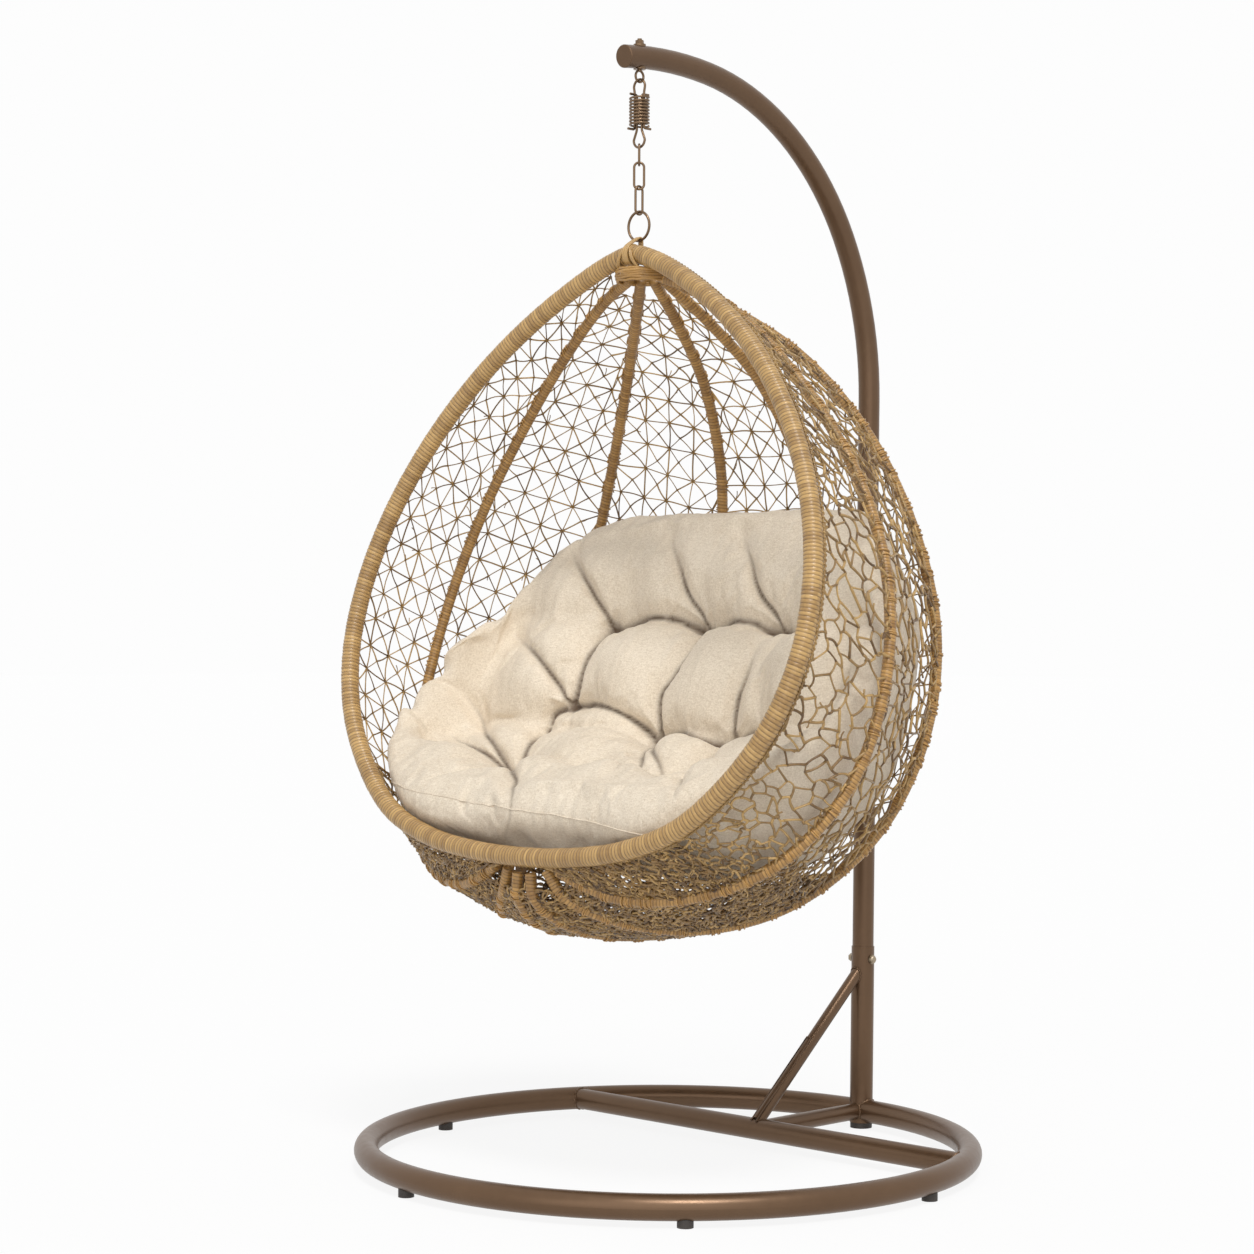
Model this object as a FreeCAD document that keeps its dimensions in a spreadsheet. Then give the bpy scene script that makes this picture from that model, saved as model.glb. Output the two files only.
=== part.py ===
import FreeCAD, Part
import Sketcher
import math
import os

# Hanging egg chair: a steel stand with a round base, a curved arm, a sprung chain
# and a caned basket with a tufted cushion. Millimetres, +Z up, the floor at zero,
# the origin under the centre of the base ring, the post towards +Y and the open
# front of the basket towards -Y.

V = FreeCAD.Vector
X_AXIS = V(1, 0, 0)
Y_AXIS = V(0, 1, 0)
Z_AXIS = V(0, 0, 1)

doc = FreeCAD.newDocument("hanging_egg_chair")
sheet = doc.addObject("Spreadsheet::Sheet", "Sizes")

# Driving dimensions: name, value, what it is
SIZES = (
    ("ring_radius", 515, "base ring, radius of the tube's centre line"),
    ("ring_od", 42, "base ring, tube diameter"),
    ("ring_height", 31, "base ring, height of the tube's centre line"),
    ("tube_wall", 1.5, "wall of every steel tube"),
    ("ring_gap_half", 12, "half of the gap between the ring's ends at the post"),
    ("seat_play", 0.1, "space between an unmoving piece and its seat"),
    ("weld_gap", 0.3, "space at a coped joint, filled by its weld"),
    ("crossbar_setback", 231, "crossbar, distance behind the ring's centre"),
    ("crossbar_od", 38, "crossbar, tube diameter"),
    ("strut_od", 30, "foot strut, tube diameter"),
    ("brace_od", 22, "brace, tube diameter"),
    ("brace_top", 300, "brace, height where its axis meets the post's axis"),
    ("brace_seat", 14, "brace, height of its axis above the crossbar's axis"),
    ("post_od", 42, "post, tube diameter"),
    ("post_lean", 0.6, "post, lean towards the back in degrees"),
    ("post_top", 334, "post, height of its rim, where the arm begins"),
    ("post_bottom", 10, "post, height of its lower end"),
    ("arm_od", 39, "arm, tube diameter"),
    ("spigot_length", 60, "arm, length of the reduced end inside the post"),
    ("spigot_play", 0.1, "arm, radial clearance of the reduced end in the post"),
    ("arm_straight", 1312, "arm and post, straight length above the ring's centre line"),
    ("arm_bend_low", 586, "arm, radius of the first bend"),
    ("arm_turn_low", 29.9, "arm, turn of the first bend in degrees"),
    ("arm_bend_mid", 495, "arm, radius of the second bend"),
    ("arm_turn_mid", 53, "arm, turn of the second bend in degrees"),
    ("arm_bend_top", 770, "arm, radius of the last bend"),
    ("arm_turn_top", 15.2, "arm, turn of the last bend in degrees"),
    ("cap_thick", 3, "arm end cap, thickness of its disc"),
    ("cap_plug", 14, "arm end cap, length of its plug"),
    ("cap_play", 0.25, "arm end cap, radial clearance of its plug"),
    ("joint_drop", 23, "through bolt, distance below the post's rim"),
    ("bolt_od", 8, "through bolt and eye bolt, diameter"),
    ("bolt_play", 0.2, "radial clearance of the bolts in their holes"),
    ("bolt_head_od", 15, "through bolt, head diameter"),
    ("bolt_head_high", 5, "through bolt, head height"),
    ("nut_across", 13, "nuts, width across the corners less one side of play"),
    ("nut_high", 6.5, "nuts, height"),
    ("washer_od", 17, "washers, diameter"),
    ("washer_thick", 1.5, "washers, thickness"),
    ("glide_od", 26, "foot glides, diameter"),
    ("glide_high", 15, "foot glides, height of the saddle's lips"),
    ("hang_back", -80, "hanging axis, its place along Y"),
    ("hang_wire", 4.2, "wire of the eye, the drawbars and the chain"),
    ("hang_play", 0.3, "space between two linked wires at rest"),
    ("skew_play", 0.5, "more space where two links cross at a slant"),
    ("eye_width", 23, "eye bolt, width of its eye"),
    ("eye_high", 23.2, "eye bolt, height of its eye"),
    ("coil_od", 35.5, "spring, outer diameter"),
    ("coil_wire", 3.6, "spring, wire diameter"),
    ("coil_length", 53.5, "spring, length"),
    ("coil_turns", 9.14, "spring, number of turns"),
    ("coil_start", 30, "spring, angle at which its wire begins in degrees"),
    ("upper_loop_rise", 28, "upper drawbar, height of its loop above the spring"),
    ("upper_leg", 11, "upper drawbar, half of the distance between its legs"),
    ("upper_loop_half", 13, "upper drawbar, half of its loop's width at the wire's centre"),
    ("lower_loop_drop", 34, "lower drawbar, height of its loop below the spring"),
    ("lower_leg", 6, "lower drawbar, half of the distance between its legs"),
    ("lower_loop_half", 13, "lower drawbar, half of its loop's width at the wire's centre"),
    ("foot_reach", 16, "drawbars, reach of their hooked feet"),
    ("foot_bend", 4, "drawbars, bend radius at their feet"),
    ("link_width", 21, "chain links, width"),
    ("link_a_length", 39.3, "upper chain link, length"),
    ("link_b_length", 49.5, "middle chain link, length"),
    ("link_c_length", 52, "lower chain link, length"),
    ("link_a_turn", -46, "upper chain link, its turn about the hanging axis"),
    ("link_b_turn", 44, "middle chain link, its turn about the hanging axis"),
    ("link_c_turn", 90, "lower chain link, its turn about the hanging axis"),
    ("ring_link_od", 54, "hanging ring, diameter"),
    ("ring_link_wire", 4.6, "hanging ring, wire diameter"),
    ("apex_drop", 24.9, "front hoop, its apex below the hanging ring's lowest wire"),
    ("apex_forward", 15, "front hoop, its apex in front of the hanging axis"),
    ("hoop_od", 31, "front hoop, diameter with its cane binding"),
    ("hoop_half_width", 533, "front hoop, half of its width at the centre line"),
    ("hoop_length", 1037, "front hoop, length from apex to bottom in its own plane"),
    ("hoop_tilt", 14.3, "front hoop, lean of its plane in degrees, bottom to the front"),
    ("lashing_thick", 5, "apex lashing, thickness of the band"),
    ("lashing_width", 13, "apex lashing, width of the band"),
    ("lashing_play", 0.5, "apex lashing, space to the ring and to the hoop"),
    ("collar_radius", 48, "rib collar, radius"),
    ("collar_high", 24, "rib collar, height"),
    ("collar_round", 8, "rib collar, radius of its edges"),
    ("collar_back", 29, "rib collar, centre behind the hoop's apex"),
    ("collar_play", 0.5, "rib collar, space to the lashing above it"),
    ("rib_circle", 36, "rib collar, radius of the circle that the ribs start on"),
    ("rib_od", 19, "ribs, diameter with their cane binding"),
    ("end_notch", 2, "ribs, depth of the notch at the hoop"),
    ("rib_play", 0.4, "space between a rib and what it is bound to"),
    ("side_half_width", 539, "side ribs, greatest half width"),
    ("side_back", 21, "side ribs, widest point behind the hoop's apex"),
    ("side_drop", 718, "side ribs, widest point below the hoop's apex"),
    ("flank_half_width", 434, "flank ribs, greatest half width"),
    ("flank_back", 250, "flank ribs, widest point behind the hoop's apex"),
    ("flank_drop", 811, "flank ribs, widest point below the hoop's apex"),
    ("rear_half_width", 125, "rear ribs, half width at their widest point"),
    ("rear_back", 293, "rear ribs, widest point behind the hoop's apex"),
    ("rear_drop", 860, "rear ribs, widest point below the hoop's apex"),
    ("fan_step", 30, "ribs, distance between their lower ends along the hoop"),
    ("net_thick", 4, "woven net, thickness of its strands"),
    ("net_least", 9, "woven net, least width of a panel"),
    ("cushion_gap", 1.4, "cushion, space to the ribs"),
    ("tuft_column", 200, "cushion, distance between two columns of tufts"),
    ("tuft_depth", 14, "cushion, depth of its tufts"),
    ("cushion_side", 490, "cushion, half of its width"),
)
row = 0
for alias, value, note in SIZES:
    row = row + 1
    sheet.set("A%d" % row, note)
    sheet.set("B%d" % row, str(value))
    sheet.setAlias("B%d" % row, alias)
doc.recompute()


def size(alias):
    """The value of one driving dimension."""
    return float(sheet.get(alias))


def turned(axis, degrees, base=V(0, 0, 0)):
    """A placement at base, turned about an axis."""
    return FreeCAD.Placement(base, FreeCAD.Rotation(axis, degrees))


# Helpers for bodies and sketches
def new_body(label):
    body = doc.addObject("PartDesign::Body", label)
    body.Label = label
    return body


def new_sketch(body, name, role):
    sketch = body.newObject("Sketcher::SketchObject", name)
    plane = [f for f in body.Origin.OriginFeatures if f.Role == role][0]
    sketch.AttachmentSupport = [(plane, "")]
    sketch.MapMode = "FlatFace"
    return sketch


def number(expression):
    """The value of an expression of the sheet's sizes."""
    answer = sheet.evalExpression(expression)
    return float(getattr(answer, "Value", answer))


def bind(sketch, kind, items, expression):
    """One dimension of a sketch, bound to an expression."""
    index = sketch.addConstraint(Sketcher.Constraint(kind, *items, number(expression)))
    sketch.setExpression("Constraints[%d]" % index, expression)


def circle(sketch, across, up, radius):
    """A circle whose centre and radius are expressions."""
    centre = V(number(across), number(up), 0)
    index = sketch.addGeometry(Part.Circle(centre, Z_AXIS, number(radius)), False)
    bind(sketch, "DistanceX", (-1, 1, index, 3), across)
    bind(sketch, "DistanceY", (-1, 1, index, 3), up)
    bind(sketch, "Radius", (index,), radius)
    return index


def polygon(sketch, corners):
    """A closed outline whose corners are pairs of expressions."""
    points = [V(number(a), number(b), 0) for a, b in corners]
    first = None
    for i, start in enumerate(points):
        end = points[(i + 1) % len(points)]
        index = sketch.addGeometry(Part.LineSegment(start, end), False)
        first = index if first is None else first
    count = len(points)
    for i in range(count):
        here = first + i
        following = first + (i + 1) % count
        sketch.addConstraint(Sketcher.Constraint("Coincident", here, 2, following, 1))
    for i, (a, b) in enumerate(corners):
        bind(sketch, "DistanceX", (-1, 1, first + i, 1), a)
        bind(sketch, "DistanceY", (-1, 1, first + i, 1), b)


def revolved(label, corners, placement):
    """A turned piece: an outline in the XZ plane, turned about Z."""
    body = new_body(label)
    sketch = new_sketch(body, label + "_outline", "XZ_Plane")
    polygon(sketch, corners)
    turn = body.newObject("PartDesign::Revolution", label + "_turn")
    turn.Profile = sketch
    turn.ReferenceAxis = (sketch, ["V_Axis"])
    turn.Angle = 360
    body.Placement = placement
    return body


def cylinder(name, radius, length, placement):
    """A plain cylinder whose radius and length are expressions."""
    made = doc.addObject("Part::Cylinder", name)
    made.setExpression("Radius", radius)
    made.setExpression("Height", length)
    made.Placement = placement
    return made


def cut(label, base, tool):
    made = doc.addObject("Part::Cut", label)
    made.Base = base
    made.Tool = tool
    made.Label = label
    return made


def shaped(label, shape):
    """A piece of free form."""
    made = doc.addObject("Part::Feature", label)
    made.Label = label
    made.Shape = shape
    return made


nodes = []


def keep(made):
    """Notes a finished sub-part."""
    nodes.append(made)
    return made


# Helpers for bent tubes and wires
def arc_edge(start, heading, end):
    """The arc from start to end that leaves along heading."""
    chord = end - start
    reach = chord.Length
    along = chord * (1 / reach)
    heading = V(heading)
    heading.normalize()
    side = heading - along * heading.dot(along)
    if side.Length < 1e-6:
        return Part.LineSegment(start, end).toShape()
    half_turn = math.acos(max(-1, min(1, heading.dot(along))))
    side.normalize()
    middle = (start + end) * 0.5 + side * (reach / 2 * math.tan(half_turn / 2))
    return Part.Arc(start, middle, end).toShape()


def biarc(start, heading, end, leaving):
    """Two tangent arcs between two points with given headings."""
    gap = end - start
    total = heading + leaving
    bend = 2 * (heading.dot(leaving) - 1)
    slope = gap.dot(total)
    if abs(bend) < 1e-9:
        reach = gap.dot(gap) / (2 * slope)
    else:
        root = math.sqrt(slope * slope - bend * gap.dot(gap))
        reach = (slope - root) / bend
    first = start + heading * reach
    second = end - leaving * reach
    middle = (first + second) * 0.5
    return [arc_edge(start, heading, middle), arc_edge(middle, second - first, end)]


def heading_at(before, here, after):
    """The direction at the middle one of three points, on the circle through them."""
    a = here - before
    b = after - here
    direction = a * (1 / a.Length / a.Length) + b * (1 / b.Length / b.Length)
    direction.normalize()
    return direction


def smooth_route(points, first=None, last=None):
    """Arcs, tangent to each other, through the points."""
    headings = []
    for i in range(1, len(points) - 1):
        headings.append(heading_at(points[i - 1], points[i], points[i + 1]))
    if first is None:
        chord = points[1] - points[0]
        chord.normalize()
        first = chord * (2 * chord.dot(headings[0])) - headings[0]
    if last is None:
        chord = points[-1] - points[-2]
        chord.normalize()
        last = chord * (2 * chord.dot(headings[-1])) - headings[-1]
    headings = [first] + headings + [last]
    edges = []
    for i in range(len(points) - 1):
        edges = edges + biarc(points[i], headings[i], points[i + 1], headings[i + 1])
    return Part.Wire(edges)


def bent_route(points, radii):
    """Straight runs joined by tangent arcs."""
    edges = []
    here = points[0]
    for i in range(1, len(points) - 1):
        inward = points[i] - points[i - 1]
        inward.normalize()
        outward = points[i + 1] - points[i]
        outward.normalize()
        turn = math.acos(max(-1, min(1, inward.dot(outward))))
        trim = radii[i - 1] * math.tan(turn / 2)
        start = points[i] - inward * trim
        end = points[i] + outward * trim
        if (start - here).Length > 1e-6:
            edges.append(Part.LineSegment(here, start).toShape())
        edges.append(arc_edge(start, inward, end))
        here = end
    if (points[-1] - here).Length > 1e-6:
        edges.append(Part.LineSegment(here, points[-1]).toShape())
    return Part.Wire(edges)


def start_of(route):
    """The first point of a route and its heading there."""
    edge = route.OrderedEdges[0]
    at = edge.FirstParameter
    if (edge.valueAt(at) - route.OrderedVertexes[0].Point).Length > 1e-6:
        at = edge.LastParameter
        return edge.valueAt(at), edge.tangentAt(at) * -1
    return edge.valueAt(at), edge.tangentAt(at)


def rod(route, radius):
    """A round solid along a route."""
    point, heading = start_of(route)
    profile = Part.Wire([Part.Circle(point, heading, radius).toShape()])
    return route.makePipeShell([profile], True, False)


# Places shared by the stand's pieces
foot = V(0, size("ring_radius"), size("ring_height"))
lean = turned(X_AXIS, -size("post_lean"), foot)


def on_post(local):
    """A placement given in the leaning post's own frame, from its foot."""
    return lean.multiply(local)


def along_x(half, base):
    """A placement for a cylinder that lies along X, centred on base."""
    return turned(Y_AXIS, 90, base - X_AXIS * half)


# Base ring: a bent tube whose coped ends meet the post
ring = new_body("base_ring")
section = new_sketch(ring, "ring_section", "XZ_Plane")
circle(section, "Sizes.ring_radius", "0", "Sizes.ring_od / 2")
circle(section, "Sizes.ring_radius", "0", "Sizes.ring_od / 2 - Sizes.tube_wall")
bend = ring.newObject("PartDesign::Revolution", "ring_bend")
bend.Profile = section
bend.ReferenceAxis = (section, ["V_Axis"])
bend.setExpression("Angle", "360 deg - 2 * asin(Sizes.ring_gap_half / Sizes.ring_radius)")
bend.Midplane = True
doc.recompute()
uncut = ring.Shape.Volume
cope = new_sketch(ring, "ring_cope", "XY_Plane")
circle(cope, "-Sizes.ring_radius", "0", "Sizes.post_od / 2 + Sizes.weld_gap")
notch = ring.newObject("PartDesign::Pocket", "ring_notch")
notch.Profile = cope
notch.Midplane = True
notch.setExpression("Length", "2 * Sizes.ring_od")
doc.recompute()
assert ring.Shape.Volume < uncut, "the ring's ends are not coped"
ring.Placement = turned(Z_AXIS, -90, V(0, 0, size("ring_height")))
keep(ring)

# Envelopes that the coped tubes are cut by
ring_envelope = doc.addObject("Part::Torus", "ring_envelope")
ring_envelope.setExpression("Radius1", "Sizes.ring_radius")
ring_envelope.setExpression("Radius2", "Sizes.ring_od / 2 + Sizes.weld_gap")
ring_envelope.Placement = FreeCAD.Placement(V(0, 0, size("ring_height")), FreeCAD.Rotation())
post_envelope = cylinder(
    "post_envelope",
    "Sizes.post_od / 2 + Sizes.weld_gap",
    "2 * Sizes.post_top",
    on_post(FreeCAD.Placement(V(0, 0, -size("post_top")), FreeCAD.Rotation())),
)

# Crossbar: a chord of the ring
bar_half = math.sqrt(size("ring_radius") ** 2 - size("crossbar_setback") ** 2)
bar_middle = V(0, size("crossbar_setback"), size("ring_height"))
bar_length = "2 * sqrt(Sizes.ring_radius^2 - Sizes.crossbar_setback^2)"
bar_outer = cylinder(
    "crossbar_outer", "Sizes.crossbar_od / 2", bar_length, along_x(bar_half, bar_middle)
)
bar_bore = cylinder(
    "crossbar_bore",
    "Sizes.crossbar_od / 2 - Sizes.tube_wall",
    bar_length,
    along_x(bar_half, bar_middle),
)
bar_tube = cut("crossbar_tube", bar_outer, bar_bore)
keep(cut("crossbar", bar_tube, ring_envelope))
bar_envelope = cylinder(
    "crossbar_envelope",
    "Sizes.crossbar_od / 2 + Sizes.weld_gap",
    bar_length,
    along_x(bar_half, bar_middle),
)

# Foot strut: from the crossbar's middle back to the post
strut_place = turned(X_AXIS, -90, bar_middle)
strut_outer = cylinder(
    "strut_outer",
    "Sizes.strut_od / 2",
    "Sizes.ring_radius - Sizes.crossbar_setback",
    strut_place,
)
strut_bore = cylinder(
    "strut_bore",
    "Sizes.strut_od / 2 - Sizes.tube_wall",
    "Sizes.ring_radius - Sizes.crossbar_setback",
    strut_place,
)
strut_tube = cut("strut_tube", strut_outer, strut_bore)
strut_front = cut("strut_front", strut_tube, bar_envelope)
strut_side = cut("strut_side", strut_front, ring_envelope)
keep(cut("foot_strut", strut_side, post_envelope))
strut_envelope = cylinder(
    "strut_envelope",
    "Sizes.strut_od / 2 + Sizes.weld_gap",
    "Sizes.ring_radius - Sizes.crossbar_setback",
    strut_place,
)

# Brace: from the top of the crossbar up to the post
brace_low = bar_middle + Z_AXIS * size("brace_seat")
brace_high = on_post(
    FreeCAD.Placement(V(0, 0, size("brace_top") - size("ring_height")), FreeCAD.Rotation())
).Base
brace_line = brace_high - brace_low
brace_place = FreeCAD.Placement(brace_low, FreeCAD.Rotation(Z_AXIS, brace_line))
brace_span = doc.addObject("Part::Cylinder", "brace_outer")
brace_span.setExpression("Radius", "Sizes.brace_od / 2")
brace_span.Height = brace_line.Length
brace_span.Placement = brace_place
brace_bore = doc.addObject("Part::Cylinder", "brace_bore")
brace_bore.setExpression("Radius", "Sizes.brace_od / 2 - Sizes.tube_wall")
brace_bore.Height = brace_line.Length
brace_bore.Placement = brace_place
brace_tube = cut("brace_tube", brace_span, brace_bore)
brace_foot = cut("brace_foot", brace_tube, bar_envelope)
brace_side = cut("brace_side", brace_foot, strut_envelope)
keep(cut("brace", brace_side, post_envelope))

# Post: an upright tube with a cross hole for the through bolt
post = new_body("post")
post_section = new_sketch(post, "post_section", "XY_Plane")
circle(post_section, "0", "0", "Sizes.post_od / 2")
circle(post_section, "0", "0", "Sizes.post_od / 2 - Sizes.tube_wall")
post_rise = post.newObject("PartDesign::Pad", "post_rise")
post_rise.Profile = post_section
post_rise.setExpression("Length", "Sizes.post_top - Sizes.post_bottom")
doc.recompute()
uncut = post.Shape.Volume
post_drill = new_sketch(post, "post_drill", "YZ_Plane")
circle(
    post_drill,
    "0",
    "Sizes.post_top - Sizes.post_bottom - Sizes.joint_drop",
    "Sizes.bolt_od / 2 + Sizes.bolt_play",
)
post_hole = post.newObject("PartDesign::Pocket", "post_hole")
post_hole.Profile = post_drill
post_hole.Midplane = True
post_hole.setExpression("Length", "2 * Sizes.post_od")
doc.recompute()
assert post.Shape.Volume < uncut, "the post's cross hole is missing"
post_base = size("post_bottom") - size("ring_height")
post.Placement = on_post(FreeCAD.Placement(V(0, 0, post_base), FreeCAD.Rotation()))
keep(post)

# Arm: one long tube, straight and then bent over in three tangent arcs
rim = size("post_top") - size("ring_height")
top_of_straight = V(0, 0, size("arm_straight"))
arm_edges = [Part.LineSegment(V(0, 0, rim), top_of_straight).toShape()]
arm_point = top_of_straight
arm_heading = 0
for radius_name, turn_name in (
    ("arm_bend_low", "arm_turn_low"),
    ("arm_bend_mid", "arm_turn_mid"),
    ("arm_bend_top", "arm_turn_top"),
):
    before = math.radians(arm_heading)
    arm_heading = arm_heading + size(turn_name)
    after = math.radians(arm_heading)
    radius = size(radius_name)
    step_back = radius * (math.cos(before) - math.cos(after))
    step_up = radius * (math.sin(after) - math.sin(before))
    following = arm_point + V(0, -step_back, step_up)
    direction = V(0, -math.sin(before), math.cos(before))
    arm_edges.append(arc_edge(arm_point, direction, following))
    arm_point = following
arm_route = Part.Wire(arm_edges)
arm_end = V(0, -math.sin(math.radians(arm_heading)), math.cos(math.radians(arm_heading)))
arm_bore = size("arm_od") / 2 - size("tube_wall")
spigot_low = rim - size("spigot_length")
spigot_radius = size("post_od") / 2 - size("tube_wall") - size("spigot_play")
spigot = Part.makeCylinder(spigot_radius, size("spigot_length"), V(0, 0, spigot_low))
arm_shape = rod(arm_route, size("arm_od") / 2).fuse(spigot)
arm_shape = arm_shape.cut(rod(arm_route, arm_bore))
spigot_bore = spigot_radius - size("tube_wall")
arm_shape = arm_shape.cut(Part.makeCylinder(spigot_bore, size("spigot_length"), V(0, 0, spigot_low)))
hole_radius = size("bolt_od") / 2 + size("bolt_play")
joint_height = rim - size("joint_drop")
cross_hole = Part.makeCylinder(hole_radius, size("post_od"), V(-size("post_od") / 2, 0, joint_height), X_AXIS)
arm_shape = arm_shape.cut(cross_hole)
# Where the hanging axis goes in and out of the arm
axis_low = V(0, size("hang_back"), size("post_top"))
axis_high = axis_low + Z_AXIS * (2 * size("arm_straight"))
solid_arm = rod(arm_route, size("arm_od") / 2)
solid_arm.Placement = lean
crossing = Part.LineSegment(axis_low, axis_high).toShape().common(solid_arm)
arm_under = crossing.BoundBox.ZMin
arm_over = crossing.BoundBox.ZMax
# The eye bolt's hole is upright, so its line is turned into the arm's own frame
to_arm = lean.inverse()
hole_foot = to_arm.multVec(V(0, size("hang_back"), arm_under - size("arm_od")))
hole_line = to_arm.Rotation.multVec(Z_AXIS)
eye_hole = Part.makeCylinder(hole_radius, 3 * size("arm_od"), hole_foot, hole_line)
arm_shape = arm_shape.cut(eye_hole)
arm = shaped("arm", arm_shape)
arm.Placement = lean
keep(arm)

# Arm end cap: a plug with a disc that closes the arm
cap_place = lean.multiply(FreeCAD.Placement(arm_point, FreeCAD.Rotation(Z_AXIS, arm_end)))
plug = "(Sizes.arm_od / 2 - Sizes.tube_wall - Sizes.cap_play)"
keep(
    revolved(
        "arm_end_cap",
        (
            ("0", "-Sizes.cap_plug"),
            (plug, "-Sizes.cap_plug"),
            (plug, "0"),
            ("Sizes.arm_od / 2", "0"),
            ("Sizes.arm_od / 2", "Sizes.cap_thick / 2"),
            ("Sizes.arm_od / 2 - Sizes.cap_thick / 2", "Sizes.cap_thick"),
            ("0", "Sizes.cap_thick"),
        ),
        cap_place,
    )
)

# Through bolt, its washers and its nut, across the post's joint
joint_centre = V(0, 0, joint_height)
washer_seat = size("post_od") / 2 + size("weld_gap")
bolt_start = washer_seat + size("washer_thick")
grip = "(Sizes.post_od + 2 * Sizes.weld_gap + 2 * Sizes.washer_thick)"
bolt_place = on_post(turned(Y_AXIS, 90, joint_centre + X_AXIS * bolt_start))
keep(
    revolved(
        "joint_bolt",
        (
            ("0", "-" + grip + " - Sizes.nut_high - 2"),
            ("Sizes.bolt_od / 2", "-" + grip + " - Sizes.nut_high - 2"),
            ("Sizes.bolt_od / 2", "0"),
            ("Sizes.bolt_head_od / 2", "0"),
            ("Sizes.bolt_head_od / 2", "Sizes.bolt_head_high / 2"),
            ("Sizes.bolt_head_od / 3", "Sizes.bolt_head_high"),
            ("0", "Sizes.bolt_head_high"),
        ),
        bolt_place,
    )
)


def ring_piece(name, outer, inner, thick, placement):
    """A flat ring, such as a washer, from expressions."""
    body = cylinder(name + "_disc", outer, thick, placement)
    hole = cylinder(name + "_hole", inner, thick, placement)
    return cut(name, body, hole)


washer_bore = "Sizes.bolt_od / 2 + Sizes.bolt_play"
washer_right = ring_piece(
    "washer_right",
    "Sizes.washer_od / 2",
    washer_bore,
    "Sizes.washer_thick",
    on_post(turned(Y_AXIS, 90, joint_centre + X_AXIS * washer_seat)),
)
washer_left = ring_piece(
    "washer_left",
    "Sizes.washer_od / 2",
    washer_bore,
    "Sizes.washer_thick",
    on_post(turned(Y_AXIS, -90, joint_centre - X_AXIS * washer_seat)),
)
washers = doc.addObject("Part::Compound", "joint_washers")
washers.Links = [washer_right, washer_left]
keep(washers)


def hex_nut(name, placement):
    """A hexagonal nut with its bolt hole."""
    block = doc.addObject("Part::Prism", name + "_block")
    block.Polygon = 6
    block.setExpression("Circumradius", "Sizes.nut_across / sqrt(3)")
    block.setExpression("Height", "Sizes.nut_high")
    block.Placement = placement
    thread = cylinder(name + "_thread", "Sizes.bolt_od / 2 + 0.05", "Sizes.nut_high", placement)
    return cut(name, block, thread)


keep(hex_nut("joint_nut", on_post(turned(Y_AXIS, -90, joint_centre - X_AXIS * bolt_start))))

# Foot glides: four saddles under the ring and one pad under the post
GLIDE_ANGLES = (9, -43, -101, 186)
glides = []
for i, angle in enumerate(GLIDE_ANGLES):
    away = size("ring_radius")
    spot = V(away * math.cos(math.radians(angle)), away * math.sin(math.radians(angle)), 0)
    pad = cylinder(
        "glide_pad_%d" % i,
        "Sizes.glide_od / 2",
        "Sizes.glide_high",
        FreeCAD.Placement(spot, FreeCAD.Rotation()),
    )
    glides.append(cut("glide_%d" % i, pad, ring_envelope))
foot_glides = doc.addObject("Part::Compound", "foot_glides")
foot_glides.Links = glides
keep(foot_glides)
post_foot = on_post(FreeCAD.Placement(V(0, 0, post_base), FreeCAD.Rotation())).Base
keep(
    cylinder(
        "post_glide",
        "Sizes.post_od / 2 - 1",
        "Sizes.post_bottom - Sizes.weld_gap",
        FreeCAD.Placement(V(0, post_foot.y, 0), FreeCAD.Rotation()),
    )
)

# Eye bolt: a closed eye in the YZ plane, on a threaded shank through the arm
wire = size("hang_wire")
wire_radius = wire / 2
eye_centre = V(0, size("hang_back"), 0)
eye_half = size("eye_width") / 2 - wire_radius
under_washer = arm_under - size("weld_gap") - size("washer_thick")
eye_top = under_washer - size("seat_play") - wire_radius
eye_bottom = eye_top - size("eye_high") + wire


def link_route(half, low, high, turn):
    """A closed link in an upright plane, turned about the hanging axis."""
    face = FreeCAD.Rotation(Z_AXIS, turn)

    def spot(across, up):
        return eye_centre + face.multVec(V(across, 0, up))

    edges = [
        Part.LineSegment(spot(half, low + half), spot(half, high - half)).toShape(),
        Part.Arc(spot(half, high - half), spot(0, high), spot(-half, high - half)).toShape(),
        Part.LineSegment(spot(-half, high - half), spot(-half, low + half)).toShape(),
        Part.Arc(spot(-half, low + half), spot(0, low), spot(half, low + half)).toShape(),
    ]
    return Part.Wire(edges)


shank_top = arm_over + size("washer_thick") + size("nut_high") + size("weld_gap") + 3
shank_low = eye_top - wire_radius / 2
eye_shape = rod(link_route(eye_half, eye_bottom, eye_top, 90), wire_radius)
shank = Part.makeCylinder(size("bolt_od") / 2, shank_top - shank_low, eye_centre + Z_AXIS * shank_low)
keep(shaped("eye_bolt", eye_shape.fuse(shank).removeSplitter()))

# Saddle washers over and under the arm, and the nut on top
saddle_radius = size("arm_od") / 2 + size("weld_gap")


def saddle(name, low, high):
    """A washer whose face is hollowed to fit the arm."""
    disc = Part.makeCylinder(size("washer_od") / 2 + 2, high - low, eye_centre + Z_AXIS * low)
    hole = Part.makeCylinder(hole_radius, high - low, eye_centre + Z_AXIS * low)
    seat = rod(arm_route, saddle_radius)
    seat.Placement = lean
    return disc.cut(hole).cut(seat)


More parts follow.
